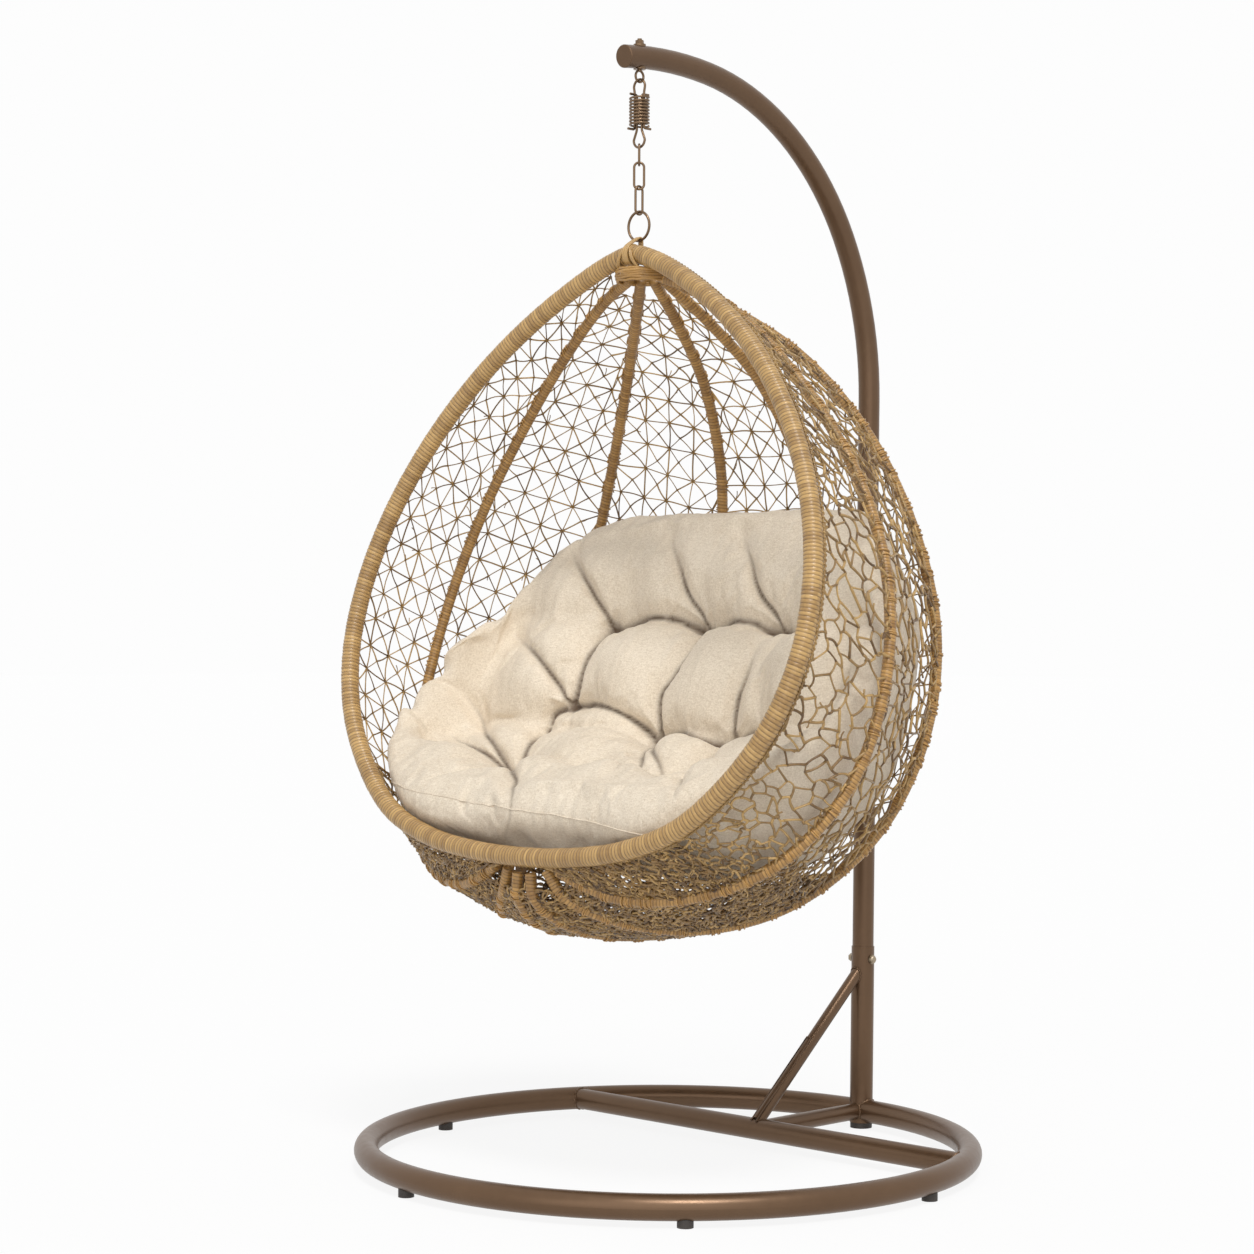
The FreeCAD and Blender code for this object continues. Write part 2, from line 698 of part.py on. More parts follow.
lower_saddle = saddle("lower", under_washer, arm_under + 4)
upper_saddle_top = arm_over + size("weld_gap") + size("washer_thick")
upper_saddle = saddle("upper", arm_over - 4, upper_saddle_top)
keep(shaped("eye_washers", Part.makeCompound([lower_saddle, upper_saddle])))
keep(
    hex_nut(
        "eye_nut",
        FreeCAD.Placement(eye_centre + Z_AXIS * upper_saddle_top, FreeCAD.Rotation()),
    )
)

# Spring: an open coil of round wire with one more half turn closed at each end
upper_top = eye_bottom + wire + size("hang_play")
coil_top = upper_top - size("upper_loop_rise")
coil_low = coil_top - size("coil_length")
coil_mean = (size("coil_od") - size("coil_wire")) / 2
coil_turns = size("coil_turns")
coil_start = math.radians(size("coil_start"))
coil_steps = math.ceil(4 * coil_turns)
coil_pitch = (size("coil_length") - size("coil_wire")) / coil_turns


def coil_point(turns):
    angle = coil_start + 2 * math.pi * turns
    height = coil_low + size("coil_wire") / 2 + coil_pitch * turns
    return eye_centre + V(coil_mean * math.cos(angle), coil_mean * math.sin(angle), height)


def coil_heading(turns):
    angle = coil_start + 2 * math.pi * turns
    rise = coil_pitch / (2 * math.pi)
    heading = V(-coil_mean * math.sin(angle), coil_mean * math.cos(angle), rise)
    heading.normalize()
    return heading


coil_edges = []
for i in range(coil_steps):
    here = coil_turns * i / coil_steps
    there = coil_turns * (i + 1) / coil_steps
    coil_edges = coil_edges + biarc(
        coil_point(here), coil_heading(here), coil_point(there), coil_heading(there)
    )
coil_route = Part.Wire(coil_edges)
keep(shaped("spring_coil", rod(coil_route, size("coil_wire") / 2)))
samples = 36
least = None
for i in range(int(samples * coil_turns) - samples * 3 // 4):
    a = coil_point(i / samples)
    for j in range(samples * 3 // 4, samples * 5 // 4):
        b = coil_point((i + j) / samples)
        distance = (a - b).Length - size("coil_wire")
        least = distance if least is None else min(least, distance)
print("spring, least gap between two turns: %.2f mm" % least)


# Drawbars: a loop with two legs through the spring, hooked at the far end
def drawbar(loop_end, side, leg, half, foot_height):
    """A bent wire: foot, leg, loop, leg, foot. side is 1 with the loop above."""
    near_coil = coil_top if side > 0 else coil_low
    swell = near_coil + side * 5
    wide = loop_end - side * half
    reach = size("foot_reach")
    points = []
    radii = []
    for hand in (1, -1):
        leg_points = [
            V(hand * leg, hand * reach, foot_height),
            V(hand * leg, 0, foot_height),
            V(hand * leg, 0, swell),
            V(hand * half, 0, wide),
            V(hand * half, 0, loop_end),
        ]
        leg_radii = [size("foot_bend"), 10, 10, half]
        if hand < 0:
            leg_points.reverse()
            leg_radii.reverse()
        points = points + leg_points
        radii = radii + leg_radii
    route_points = [eye_centre + p for p in points]
    route = bent_route(route_points, radii)
    return rod(route, wire_radius)


seat_gap = wire_radius + size("hang_play")
keep(
    shaped(
        "spring_upper_drawbar",
        drawbar(upper_top, 1, size("upper_leg"), size("upper_loop_half"), coil_low - seat_gap),
    )
)
lower_bottom = coil_low - size("lower_loop_drop")
keep(
    shaped(
        "spring_lower_drawbar",
        drawbar(lower_bottom, -1, size("lower_leg"), size("lower_loop_half"), coil_top + seat_gap),
    )
)

# Chain: three links, each hung in the one above with a little play
link_half = size("link_width") / 2 - wire_radius
link_low = lower_bottom
link_ends = []
turn_above = 0
for letter in ("a", "b", "c"):
    crossing = abs((size("link_%s_turn" % letter) - turn_above + 90) % 180 - 90)
    slant = size("skew_play") if crossing < 60 else 0
    turn_above = size("link_%s_turn" % letter)
    link_high = link_low + wire + size("hang_play") + slant
    link_low = link_high - size("link_%s_length" % letter) + wire
    route = link_route(link_half, link_low, link_high, size("link_%s_turn" % letter))
    keep(shaped("chain_link_%s" % letter, rod(route, wire_radius)))
    link_ends.append((link_low, link_high))

# Hanging ring: round wire, upright, facing the front
ring_wire = size("ring_link_wire") / 2
ring_top = link_low + wire_radius + ring_wire + size("hang_play")
ring_mean = size("ring_link_od") / 2 - ring_wire
ring_centre = eye_centre + Z_AXIS * (ring_top - ring_mean)
hanging_ring = doc.addObject("Part::Torus", "hanging_ring")
hanging_ring.setExpression("Radius1", "Sizes.ring_link_od / 2 - Sizes.ring_link_wire / 2")
hanging_ring.setExpression("Radius2", "Sizes.ring_link_wire / 2")
hanging_ring.Placement = turned(X_AXIS, 90, ring_centre)
keep(hanging_ring)
ring_low = ring_centre - Z_AXIS * ring_mean

# Front hoop: a bent pole in a tilted plane, pointed at the apex and broad below.
# Its stations are shares of the half width across and of the length down.
apex = ring_low + V(0, -size("apex_forward"), -size("apex_drop"))
tilt = math.radians(size("hoop_tilt"))
down = V(0, -math.sin(tilt), -math.cos(tilt))
HOOP_STATIONS = (
    (0.090, 0.011),
    (0.208, 0.039),
    (0.395, 0.097),
    (0.567, 0.167),
    (0.721, 0.251),
    (0.844, 0.342),
    (0.940, 0.445),
    (0.994, 0.555),
    (0.996, 0.666),
    (0.933, 0.773),
    (0.808, 0.865),
    (0.639, 0.939),
    (0.435, 0.978),
    (0.220, 0.995),
)
hoop_bottom = apex + down * size("hoop_length")


def hoop_point(across, along):
    return apex + X_AXIS * (across * size("hoop_half_width")) + down * (along * size("hoop_length"))


right_half = [hoop_point(a, b) for a, b in HOOP_STATIONS]
left_half = [hoop_point(-a, b) for a, b in HOOP_STATIONS]
hoop_side_routes = []
for hand, side_points in ((1, right_half), (-1, left_half)):
    hoop_side_routes.append(
        smooth_route([apex] + side_points + [hoop_bottom], X_AXIS * hand, X_AXIS * -hand)
    )
# The apex is turned tightly, so the pole is swept in two halves that meet there
hoop_radius = size("hoop_od") / 2
hoop_halves = [rod(route, hoop_radius) for route in hoop_side_routes]
front_hoop = hoop_halves[0].fuse(hoop_halves[1])
keep(shaped("front_hoop", front_hoop))
hoop_envelope = [rod(route, hoop_radius + size("rib_play")) for route in hoop_side_routes]


# Apex lashing: a band round the hanging ring's wire and the hoop's apex
def belt(small, small_radius, large, large_radius, width):
    """A belt-shaped solid round two circles in the YZ plane."""
    gap = large - small
    span = gap.Length
    along = gap * (1 / span)
    side = X_AXIS.cross(along)
    tilt_angle = math.asin((large_radius - small_radius) / span)
    outer = []
    for hand in (1, -1):
        normal = side * (hand * math.cos(tilt_angle)) - along * math.sin(tilt_angle)
        outer.append((small + normal * small_radius, large + normal * large_radius))
    (a0, a1), (b0, b1) = outer
    far_small = small - along * small_radius
    far_large = large + along * large_radius
    edges = [
        Part.LineSegment(a0, a1).toShape(),
        Part.Arc(a1, far_large, b1).toShape(),
        Part.LineSegment(b1, b0).toShape(),
        Part.Arc(b0, far_small, a0).toShape(),
    ]
    face = Part.Face(Part.Wire(edges))
    face.translate(X_AXIS * (-width / 2))
    return face.extrude(X_AXIS * width)


play = size("lashing_play")
band = size("lashing_thick")
ring_rise = ring_mean - math.sqrt(ring_mean ** 2 - (size("lashing_width") / 2) ** 2)
eye_inner = ring_wire + play + ring_rise
hoop_inner = hoop_radius + play
lashing = belt(ring_low, eye_inner + band, apex, hoop_inner + band, size("lashing_width"))
lashing = lashing.cut(belt(ring_low, eye_inner, apex, hoop_inner, size("lashing_width")))
for envelope in [rod(route, hoop_radius + play) for route in hoop_side_routes]:
    lashing = lashing.cut(envelope)
keep(shaped("apex_lashing", lashing))

# Rib collar: the thick bound knot below the apex that the ribs start from
collar_top = apex.z - hoop_inner - band - size("collar_play")
collar_mid = V(0, apex.y + size("collar_back"), collar_top - size("collar_high") / 2)
collar = Part.makeCylinder(
    size("collar_radius"), size("collar_high"), collar_mid - Z_AXIS * (size("collar_high") / 2)
)
collar = collar.makeFillet(
    min(size("collar_round"), size("collar_high") * 0.45),
    [e for e in collar.Edges if e.Closed],
)

# Ribs: each bent in one plane, from the collar out and round under the seat to the
# hoop's bottom. A station is a share of the chord down and of the reach outwards.
SIDE_STATIONS = (
    (0.029, 0.187),
    (0.112, 0.423),
    (0.229, 0.655),
    (0.359, 0.839),
    (0.502, 0.960),
    (0.661, 0.999),
    (0.820, 0.939),
    (0.947, 0.755),
    (1.015, 0.494),
    (1.033, 0.243),
    (1.016, 0.084),
)
FLANK_STATIONS = (
    (0.029, 0.196),
    (0.088, 0.444),
    (0.197, 0.680),
    (0.342, 0.863),
    (0.503, 0.977),
    (0.672, 0.995),
    (0.839, 0.909),
    (0.973, 0.715),
    (1.043, 0.464),
    (1.055, 0.214),
    (1.034, 0.067),
)
REAR_STATIONS = (
    (0.038, 0.222),
    (0.100, 0.492),
    (0.218, 0.743),
    (0.372, 0.886),
    (0.530, 0.965),
    (0.696, 1.000),
    (0.859, 0.960),
    (0.994, 0.772),
    (1.055, 0.476),
    (1.071, 0.195),
    (1.043, 0.031),
)
RIBS = (
    ("side", SIDE_STATIONS, 0, 2.5),
    ("flank", FLANK_STATIONS, 36, 1.5),
    ("rear", REAR_STATIONS, 72, 0.5),
)
rib_radius = size("rib_od") / 2
# The lower ends lie against the hoop, behind and below it, and are notched round it
end_lean = V(0, 0.69, -0.73)
end_sink = end_lean * (hoop_radius + rib_radius - size("end_notch"))


def rib_route(name, stations, start_angle, fan_place, hand):
    """The centre line of one rib; hand is 1 on the right and -1 on the left."""
    angle = math.radians(start_angle)
    reach = size("rib_circle")
    start = collar_mid + V(hand * reach * math.cos(angle), reach * math.sin(angle), 0)
    end = hoop_bottom + end_sink + X_AXIS * (hand * fan_place * size("fan_step"))
    widest = apex + V(
        hand * size(name + "_half_width"),
        size(name + "_back"),
        -size(name + "_drop"),
    )
    chord = end - start
    along = V(chord)
    along.normalize()
    outward = widest - start
    outward = outward - along * outward.dot(along)
    rise = outward.Length
    outward.normalize()
    points = [start]
    for share_down, share_out in stations:
        points.append(start + chord * share_down + outward * (rise * share_out))
    points.append(end)
    return smooth_route(points)


rib_routes = {}
for name, stations, start_angle, fan_place in RIBS:
    for side, hand in (("right", 1), ("left", -1)):
        route = rib_route(name, stations, start_angle, fan_place, hand)
        rib_routes[(name, side)] = route
        rib = rod(route, rib_radius)
        for envelope in hoop_envelope:
            rib = rib.cut(envelope)
        keep(shaped("rib_%s_%s" % (name, side), rib))
        collar = collar.cut(rod(route, rib_radius + size("rib_play")))
for envelope in hoop_envelope:
    collar = collar.cut(envelope)
keep(shaped("rib_collar", collar))

# Woven net: taut panels between neighbouring poles, left plain here
STATIONS = 22


def spaced(route, count):
    """Points at equal distances along a route."""
    return route.discretize(Number=count)


lines = {}
lines["hoop_right"] = (spaced(hoop_side_routes[0], STATIONS + 1), hoop_radius)
lines["hoop_left"] = (spaced(hoop_side_routes[1], STATIONS + 1), hoop_radius)
pole_envelopes = {"hoop_right": hoop_envelope[0], "hoop_left": hoop_envelope[1]}
for (name, side), route in rib_routes.items():
    pole_envelopes["%s_%s" % (name, side)] = rod(route, rib_radius + size("rib_play"))
    points = spaced(route, STATIONS + 1)
    if (points[0] - collar_mid).Length > (points[-1] - collar_mid).Length:
        points.reverse()
    lines["%s_%s" % (name, side)] = (points, rib_radius)
PANELS = (
    ("net_side_right", "hoop_right", "side_right"),
    ("net_flank_right", "side_right", "flank_right"),
    ("net_quarter_right", "flank_right", "rear_right"),
    ("net_back", "rear_right", "rear_left"),
    ("net_quarter_left", "rear_left", "flank_left"),
    ("net_flank_left", "flank_left", "side_left"),
    ("net_side_left", "side_left", "hoop_left"),
)


def panel(first, second):
    """A thin strip between two poles, lofted from straight sections."""
    first_points, first_radius = first
    second_points, second_radius = second
    sections = []
    count = len(first_points)
    half = size("net_thick") / 2
    for i in range(1, count - 1):
        a = first_points[i]
        b = second_points[i]
        span = b - a
        room = span.Length - first_radius - second_radius - 2 * size("rib_play")
        clear_top = (a - collar_mid).Length > size("collar_radius") + size("net_least")
        if room < size("net_least") or not clear_top:
            continue
        across = V(span)
        across.normalize()
        travel = (first_points[i + 1] - first_points[i - 1]) + (
            second_points[i + 1] - second_points[i - 1]
        )
        normal = travel.cross(across)
        normal.normalize()
        near = a + across * (first_radius - half)
        far = b - across * (second_radius - half)
        corners = [
            near + normal * half,
            far + normal * half,
            far - normal * half,
            near - normal * half,
        ]
        sections.append(Part.makePolygon(corners + [corners[0]]))
    return Part.makeLoft(sections, True, True)


for label, first_name, second_name in PANELS:
    strip = panel(lines[first_name], lines[second_name])
    strip = strip.cut(pole_envelopes[first_name]).cut(pole_envelopes[second_name])
    whole = max(strip.Solids, key=lambda solid: solid.Volume)
    keep(shaped(label, whole))


# Cushion: one thick pad, seat and back together, dimpled where it is tufted.
# It is drawn as upright sections, each seen from the side as rays from one centre.
cushion_centre = V(0, apex.y + 25, apex.z - 620)
TUFT_ROWS = (-112, -82, 0)
OUTER_REACH = (430, 430, 392, 300, 326)
INNER_REACH = (345, 292, 203, 153, 262)
LOBE_RISE = (22, 14, 26, 20)
UNDER_ARCS = 7
# The cushion settles between the rear poles by this share of their radius, and stays
# clear of the net further out
SETTLE = 0.77
SETTLE_WIDE = 1.5
basket_mesh = []
for label, first_name, second_name in PANELS:
    a_points = lines[first_name][0]
    b_points = lines[second_name][0]
    for i in range(len(a_points) - 1):
        basket_mesh.append((a_points[i], b_points[i], b_points[i + 1]))
        basket_mesh.append((a_points[i], b_points[i + 1], a_points[i + 1]))


def reach_in(x, degrees):
    """How far a ray from the cushion's centre line goes before it meets the net."""
    origin = V(x, cushion_centre.y, cushion_centre.z)
    ray = V(0, math.cos(math.radians(degrees)), math.sin(math.radians(degrees)))
    best = None
    for a, b, c in basket_mesh:
        side_one = b - a
        side_two = c - a
        p = ray.cross(side_two)
        scale = side_one.dot(p)
        if abs(scale) < 1e-9:
            continue
        offset = origin - a
        u = offset.dot(p) / scale
        q = offset.cross(side_one)
        v = ray.dot(q) / scale
        far = side_two.dot(q) / scale
        if u >= 0 and v >= 0 and u + v <= 1 and far > 0:
            best = far if best is None else min(best, far)
    return best


def cushion_section(x, thin, first_row, last_row, puff):
    """One closed outline at a distance x from the middle, between two angles."""
    rows = [first_row] + [row for row in TUFT_ROWS] + [last_row]
    rows[1] = max(rows[1], first_row + 9)
    rows[-2] = min(rows[-2], last_row - 24)
    rows[2] = min(rows[2], (rows[1] + rows[-2]) / 2)
    outer = []
    inner = []
    base = V(x, cushion_centre.y, cushion_centre.z)

    def ray_at(degrees):
        return V(0, math.cos(math.radians(degrees)), math.sin(math.radians(degrees)))

    def outer_limit(degrees, wanted):
        near_hoop = degrees < TUFT_ROWS[1]
        settle = SETTLE if abs(x) < 1.25 * size("tuft_column") or near_hoop else SETTLE_WIDE
        clear = (hoop_radius if near_hoop else rib_radius) * settle + size("cushion_gap")
        limit = reach_in(x, degrees)
        beside = reach_in(x + math.copysign(clear, x), degrees)
        for found in (limit, beside):
            if found is not None:
                wanted = min(wanted, found - clear)
        return wanted

    for i, degrees in enumerate(rows):
        far = outer_limit(degrees, OUTER_REACH[i])
        near = far - (OUTER_REACH[i] - INNER_REACH[i]) * thin
        if 0 < i < len(rows) - 1:
            near = near - puff
        outer.append(base + ray_at(degrees) * far)
        inner.append(base + ray_at(degrees) * near)
    edges = []
    for i in range(len(rows) - 1):
        chord_middle = (inner[i] + inner[i + 1]) * 0.5
        toward = base - chord_middle
        toward.normalize()
        middle = chord_middle + toward * ((LOBE_RISE[i] + puff) * thin)
        edges.append(Part.Arc(inner[i], middle, inner[i + 1]).toShape())
    edges.append(rim_arc(inner[-1], outer[-1], inner[-2]))
    rays = 2 * UNDER_ARCS
    under = []
    for i in range(rays + 1):
        degrees = last_row + (first_row - last_row) * i / rays
        wanted = OUTER_REACH[0]
        for k in range(len(rows) - 1):
            if rows[k] <= degrees <= rows[k + 1]:
                share = (degrees - rows[k]) / (rows[k + 1] - rows[k])
                wanted = OUTER_REACH[k] + (OUTER_REACH[k + 1] - OUTER_REACH[k]) * share
        under.append(base + ray_at(degrees) * outer_limit(degrees, wanted))
    for i in range(0, rays, 2):
        edges.append(Part.Arc(under[i], under[i + 1], under[i + 2]).toShape())
    edges.append(rim_arc(outer[0], inner[0], inner[1]))
    return Part.Wire(edges)


def rim_arc(start, end, away):
    """A round edge from start to end, bulging away from a point."""
    chord = end - start
    middle = (start + end) * 0.5
    side = X_AXIS.cross(chord)
    side.normalize()
    if side.dot(middle - away) < 0:
        side = side * -1
    return Part.Arc(start, middle + side * (chord.Length * 0.36), end).toShape()


column = size("tuft_column")
depth = size("tuft_depth")
side = size("cushion_side")
# Share of the full thickness, the angles of both rims, and the fullness
SECTIONS = (
    (-side, 0.30, -121, -2, 0),
    (-side * 0.93, 0.55, -126, 24, 0),
    (-column * 2, 0.80, -127, 33, 0),
    (-column * 1.5, 1, -127, 35, depth),
    (-column, 1, -127, 36, 0),
    (-column * 0.5, 1, -127, 36, depth),
    (0, 1, -127, 36, 0),
    (column * 0.5, 1, -127, 36, depth),
    (column, 1, -127, 36, 0),
    (column * 1.5, 1, -127, 35, depth),
    (column * 2, 0.80, -127, 33, 0),
    (side * 0.93, 0.55, -126, 24, 0),
    (side, 0.30, -121, -2, 0),
)
outlines = []
for x, thin, first_row, last_row, puff in SECTIONS:
    outlines.append(cushion_section(x, thin, first_row, last_row, puff))
keep(shaped("cushion", Part.makeLoft(outlines, True, False)))

# Every piece is checked and written
doc.recompute()
for made in doc.Objects:
    state = list(made.State)
    assert "Invalid" not in state and "Error" not in state, "%s: %s" % (made.Label, state)
os.makedirs("parts", exist_ok=True)
for made in nodes:
    shape = made.Shape
    assert not shape.isNull(), made.Label
    assert shape.isValid(), made.Label
    assert len(shape.Solids) > 0, made.Label
    shape.exportStep("parts/%s.step" % made.Label)
    box = shape.BoundBox
    print(
        "%-22s solids %d volume %.1f cm3 box %.0f %.0f %.0f to %.0f %.0f %.0f"
        % (
            made.Label,
            len(shape.Solids),
            shape.Volume / 1000,
            box.XMin,
            box.YMin,
            box.ZMin,
            box.XMax,
            box.YMax,
            box.ZMax,
        )
    )
print("arm under %.2f over %.2f" % (arm_under, arm_over))
print("coil bottom z %.2f" % coil_low)
print("eye arc centre z %.2f" % (eye_bottom + eye_half))
print("lower loop arc centre z %.2f" % (lower_bottom + size("lower_loop_half")))
for letter, (low_end, high_end) in zip(("a", "b", "c"), link_ends):
    print("link %s arc centres z %.2f and %.2f" % (letter, low_end + link_half, high_end - link_half))
print("hanging ring centre z %.2f, lowest wire z %.2f" % (ring_centre.z, ring_low.z))
print("apex %s, hoop bottom %s, collar %s" % (apex, hoop_bottom, collar_mid))
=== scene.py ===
# %% [markdown]
# # A hanging egg chair
# This lesson dresses a hanging chair: a tear-drop basket of cane-wound poles and woven
# strands, a tufted cushion, and a dark steel stand with its chain.
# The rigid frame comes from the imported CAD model. Everything here is in metres, with Z up,
# the floor at zero and the stand's ring centred on the origin.

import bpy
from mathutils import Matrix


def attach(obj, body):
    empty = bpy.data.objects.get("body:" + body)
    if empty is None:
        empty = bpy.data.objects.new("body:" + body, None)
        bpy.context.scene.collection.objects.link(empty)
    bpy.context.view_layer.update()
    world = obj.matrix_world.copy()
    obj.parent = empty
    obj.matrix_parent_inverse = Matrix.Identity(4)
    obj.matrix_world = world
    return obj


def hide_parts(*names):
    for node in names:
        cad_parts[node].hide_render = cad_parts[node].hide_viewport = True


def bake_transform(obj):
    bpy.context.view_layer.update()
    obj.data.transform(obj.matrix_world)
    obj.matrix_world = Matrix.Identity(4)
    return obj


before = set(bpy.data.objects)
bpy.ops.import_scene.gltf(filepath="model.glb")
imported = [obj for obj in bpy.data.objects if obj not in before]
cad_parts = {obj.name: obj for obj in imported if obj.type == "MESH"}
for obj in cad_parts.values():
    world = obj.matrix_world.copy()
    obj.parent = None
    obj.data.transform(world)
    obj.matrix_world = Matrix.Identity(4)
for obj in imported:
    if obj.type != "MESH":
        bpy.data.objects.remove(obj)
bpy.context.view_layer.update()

# %% [markdown]
# ## Tools used below
# Blender's own mesh calls and numpy are enough for this chair. Long bound tubes and
# thousands of short strands are quicker to compute as arrays than to draw one by one.

# %% Imports and small helpers
import math

import bmesh
import bpy
import numpy as np
from mathutils import Matrix, Vector, bvhtree, geometry, kdtree
from mathutils.noise import noise as noise_at

UP = np.array((0.0, 0.0, 1.0))


def unit(vectors):
    """Vectors of length one, along the last axis."""
    return vectors / np.maximum(np.linalg.norm(vectors, axis=-1, keepdims=True), 1e-12)


def make_mesh(name, points, faces, smooth=True, **marks):
    """A mesh object from arrays. Each mark is one number for every point."""
    mesh = bpy.data.meshes.new(name)
    mesh.from_pydata(np.asarray(points).tolist(), [], faces)
    mesh.polygons.foreach_set("use_smooth", [smooth] * len(mesh.polygons))
    for mark, values in marks.items():
        layer = mesh.attributes.new(mark, "FLOAT", "POINT")
        layer.data.foreach_set("value", np.asarray(values, np.float32).ravel())
    mesh.update()
    thing = bpy.data.objects.new(name, mesh)
    bpy.context.scene.collection.objects.link(thing)
    print(name, len(mesh.vertices), "points")
    return thing


def smooth_line(corners, step, closed=False):
    """Evenly spaced points on a smooth line through the corners."""
    corners = np.asarray(corners, float)
    if closed:
        ring = np.vstack((corners[-1], corners, corners[:2]))
    else:
        first = 2 * corners[0] - corners[1]
        last = 2 * corners[-1] - corners[-2]
        ring = np.vstack((first, corners, last))
    dense = []
    for a, b, c, d in zip(ring, ring[1:], ring[2:], ring[3:]):
        ta = np.linalg.norm(b - a) ** 0.5
        tb = ta + np.linalg.norm(c - b) ** 0.5
        tc = tb + np.linalg.norm(d - c) ** 0.5
        t = np.linspace(ta, tb, 60, endpoint=False)[:, None]
        ab = (ta - t) / ta * a + t / ta * b
        bc = (tb - t) / (tb - ta) * b + (t - ta) / (tb - ta) * c
        cd = (tc - t) / (tc - tb) * c + (t - tb) / (tc - tb) * d
        abc = (tb - t) / tb * ab + t / tb * bc
        bcd = (tc - t) / (tc - ta) * bc + (t - ta) / (tc - ta) * cd
        dense.append((tb - t) / (tb - ta) * abc + (t - ta) / (tb - ta) * bcd)
    dense = np.vstack(dense + [ring[-2][None, :]])
    along = np.concatenate(((0,), np.cumsum(np.linalg.norm(np.diff(dense, axis=0), axis=1))))
    count = max(2, int(round(along[-1] / step)) + 1)
    places = np.linspace(0, along[-1], count)
    line = np.stack([np.interp(places, along, dense[:, k]) for k in range(3)], 1)
    return line[:-1] if closed else line


def frames_along(line, closed=False):
    """For each point of a line, two directions square to it that turn as little as possible."""
    if closed:
        heading = unit(np.roll(line, -1, 0) - np.roll(line, 1, 0))
    else:
        heading = unit(np.gradient(line, axis=0))
    side = np.zeros_like(line)
    first = UP if abs(heading[0] @ UP) < 0.9 else np.array((1.0, 0, 0))
    side[0] = unit(first - heading[0] * (first @ heading[0]))
    for i in range(1, len(line)):
        moved = side[i - 1] - heading[i] * (side[i - 1] @ heading[i])
        side[i] = moved / np.linalg.norm(moved)
    if closed:
        back = side[-1] - heading[0] * (side[-1] @ heading[0])
        back = back / np.linalg.norm(back)
        turn = math.atan2(np.cross(back, side[0]) @ heading[0], back @ side[0])
        angles = np.linspace(0, turn, len(line))[:, None]
        side = side * np.cos(angles) + np.cross(heading, side) * np.sin(angles)
    return heading, side, np.cross(heading, side)


def tube_faces(rings, sides, closed=False, caps=True):
    """Faces of a tube whose points are numbered ring after ring."""
    faces = []
    last = rings if closed else rings - 1
    for i in range(last):
        here, there = i * sides, (i + 1) % rings * sides
        for j in range(sides):
            k = (j + 1) % sides
            faces.append((here + j, here + k, there + k, there + j))
    if caps and not closed:
        faces.append(tuple(range(sides - 1, -1, -1)))
        faces.append(tuple(range((rings - 1) * sides, rings * sides)))
    return faces


# %% [markdown]
# ## The camera
# The photograph was taken from the chair's front right, a little below half its height,
# with a long lens that keeps upright lines upright.

# %% Camera
CAMERA_TURN = math.radians(44.78)
CAMERA_AWAY = 4.846
CAMERA_ASIDE = 0.0735
CAMERA_HEIGHT = 0.9211
CAMERA_ROLL = math.radians(0.253)
LENS = 81.04
SENSOR = 36

look = Vector((-math.sin(CAMERA_TURN), math.cos(CAMERA_TURN), 0))
right = Vector((math.cos(CAMERA_TURN), math.sin(CAMERA_TURN), 0))
above = Vector((0, 0, 1))
camera_data = bpy.data.cameras.new("camera")
camera_data.lens = LENS
camera_data.sensor_width = SENSOR
camera = bpy.data.objects.new("camera", camera_data)
bpy.context.scene.collection.objects.link(camera)
across = right * math.cos(CAMERA_ROLL) + above * math.sin(CAMERA_ROLL)
upward = above * math.cos(CAMERA_ROLL) - right * math.sin(CAMERA_ROLL)
place = Matrix((across, upward, -look)).transposed().to_4x4()
place.translation = -right * CAMERA_ASIDE - look * CAMERA_AWAY + above * CAMERA_HEIGHT
camera.matrix_world = place
bpy.context.scene.camera = camera
print("camera at", [round(v, 3) for v in camera.location])

# %% [markdown]
# ## Materials
# Three finishes make the chair: cane and its woven strands, satin painted steel, and a linen
# cloth. What several of them share is a node group, so that one change reaches every material: a
# cloudy tone, painted shade in the gaps between windings, and fine fibres.


# %% Node helpers
def new_group(name, inputs, outputs):
    """An empty shader node group with named sockets."""
    group = bpy.data.node_groups.new(name, "ShaderNodeTree")
    for label, kind, value in inputs:
        socket = group.interface.new_socket(label, in_out="INPUT", socket_type=kind)
        socket.default_value = value
    for label, kind in outputs:
        group.interface.new_socket(label, in_out="OUTPUT", socket_type=kind)
    return group, group.nodes.new("NodeGroupInput"), group.nodes.new("NodeGroupOutput")


def node(tree, kind, values=None, **settings):
    """A node with its settings and its plain input values."""
    made = tree.nodes.new(kind)
    for key, value in settings.items():
        setattr(made, key, value)
    for key, value in (values or {}).items():
        made.inputs[key].default_value = value
    return made


def maths(tree, operation, first, second=None, third=None):
    """One step of arithmetic. Each term is a socket or a number."""
    made = tree.nodes.new("ShaderNodeMath")
    made.operation = operation
    for slot_number, term in enumerate((first, second, third)):
        if term is None:
            continue
        if isinstance(term, (int, float)):
            made.inputs[slot_number].default_value = term
        else:
            tree.links.new(term, made.inputs[slot_number])
    return made.outputs[0]


def mixed(tree, amount, first, second, blend="MIX"):
    """Two colours mixed. Each term is a socket or a colour."""
    made = tree.nodes.new("ShaderNodeMix")
    made.data_type = "RGBA"
    made.blend_type = blend
    for slot_number, term in ((0, amount), (6, first), (7, second)):
        if isinstance(term, (int, float, tuple)):
            made.inputs[slot_number].default_value = term
        else:
            tree.links.new(term, made.inputs[slot_number])
    return made.outputs[2]


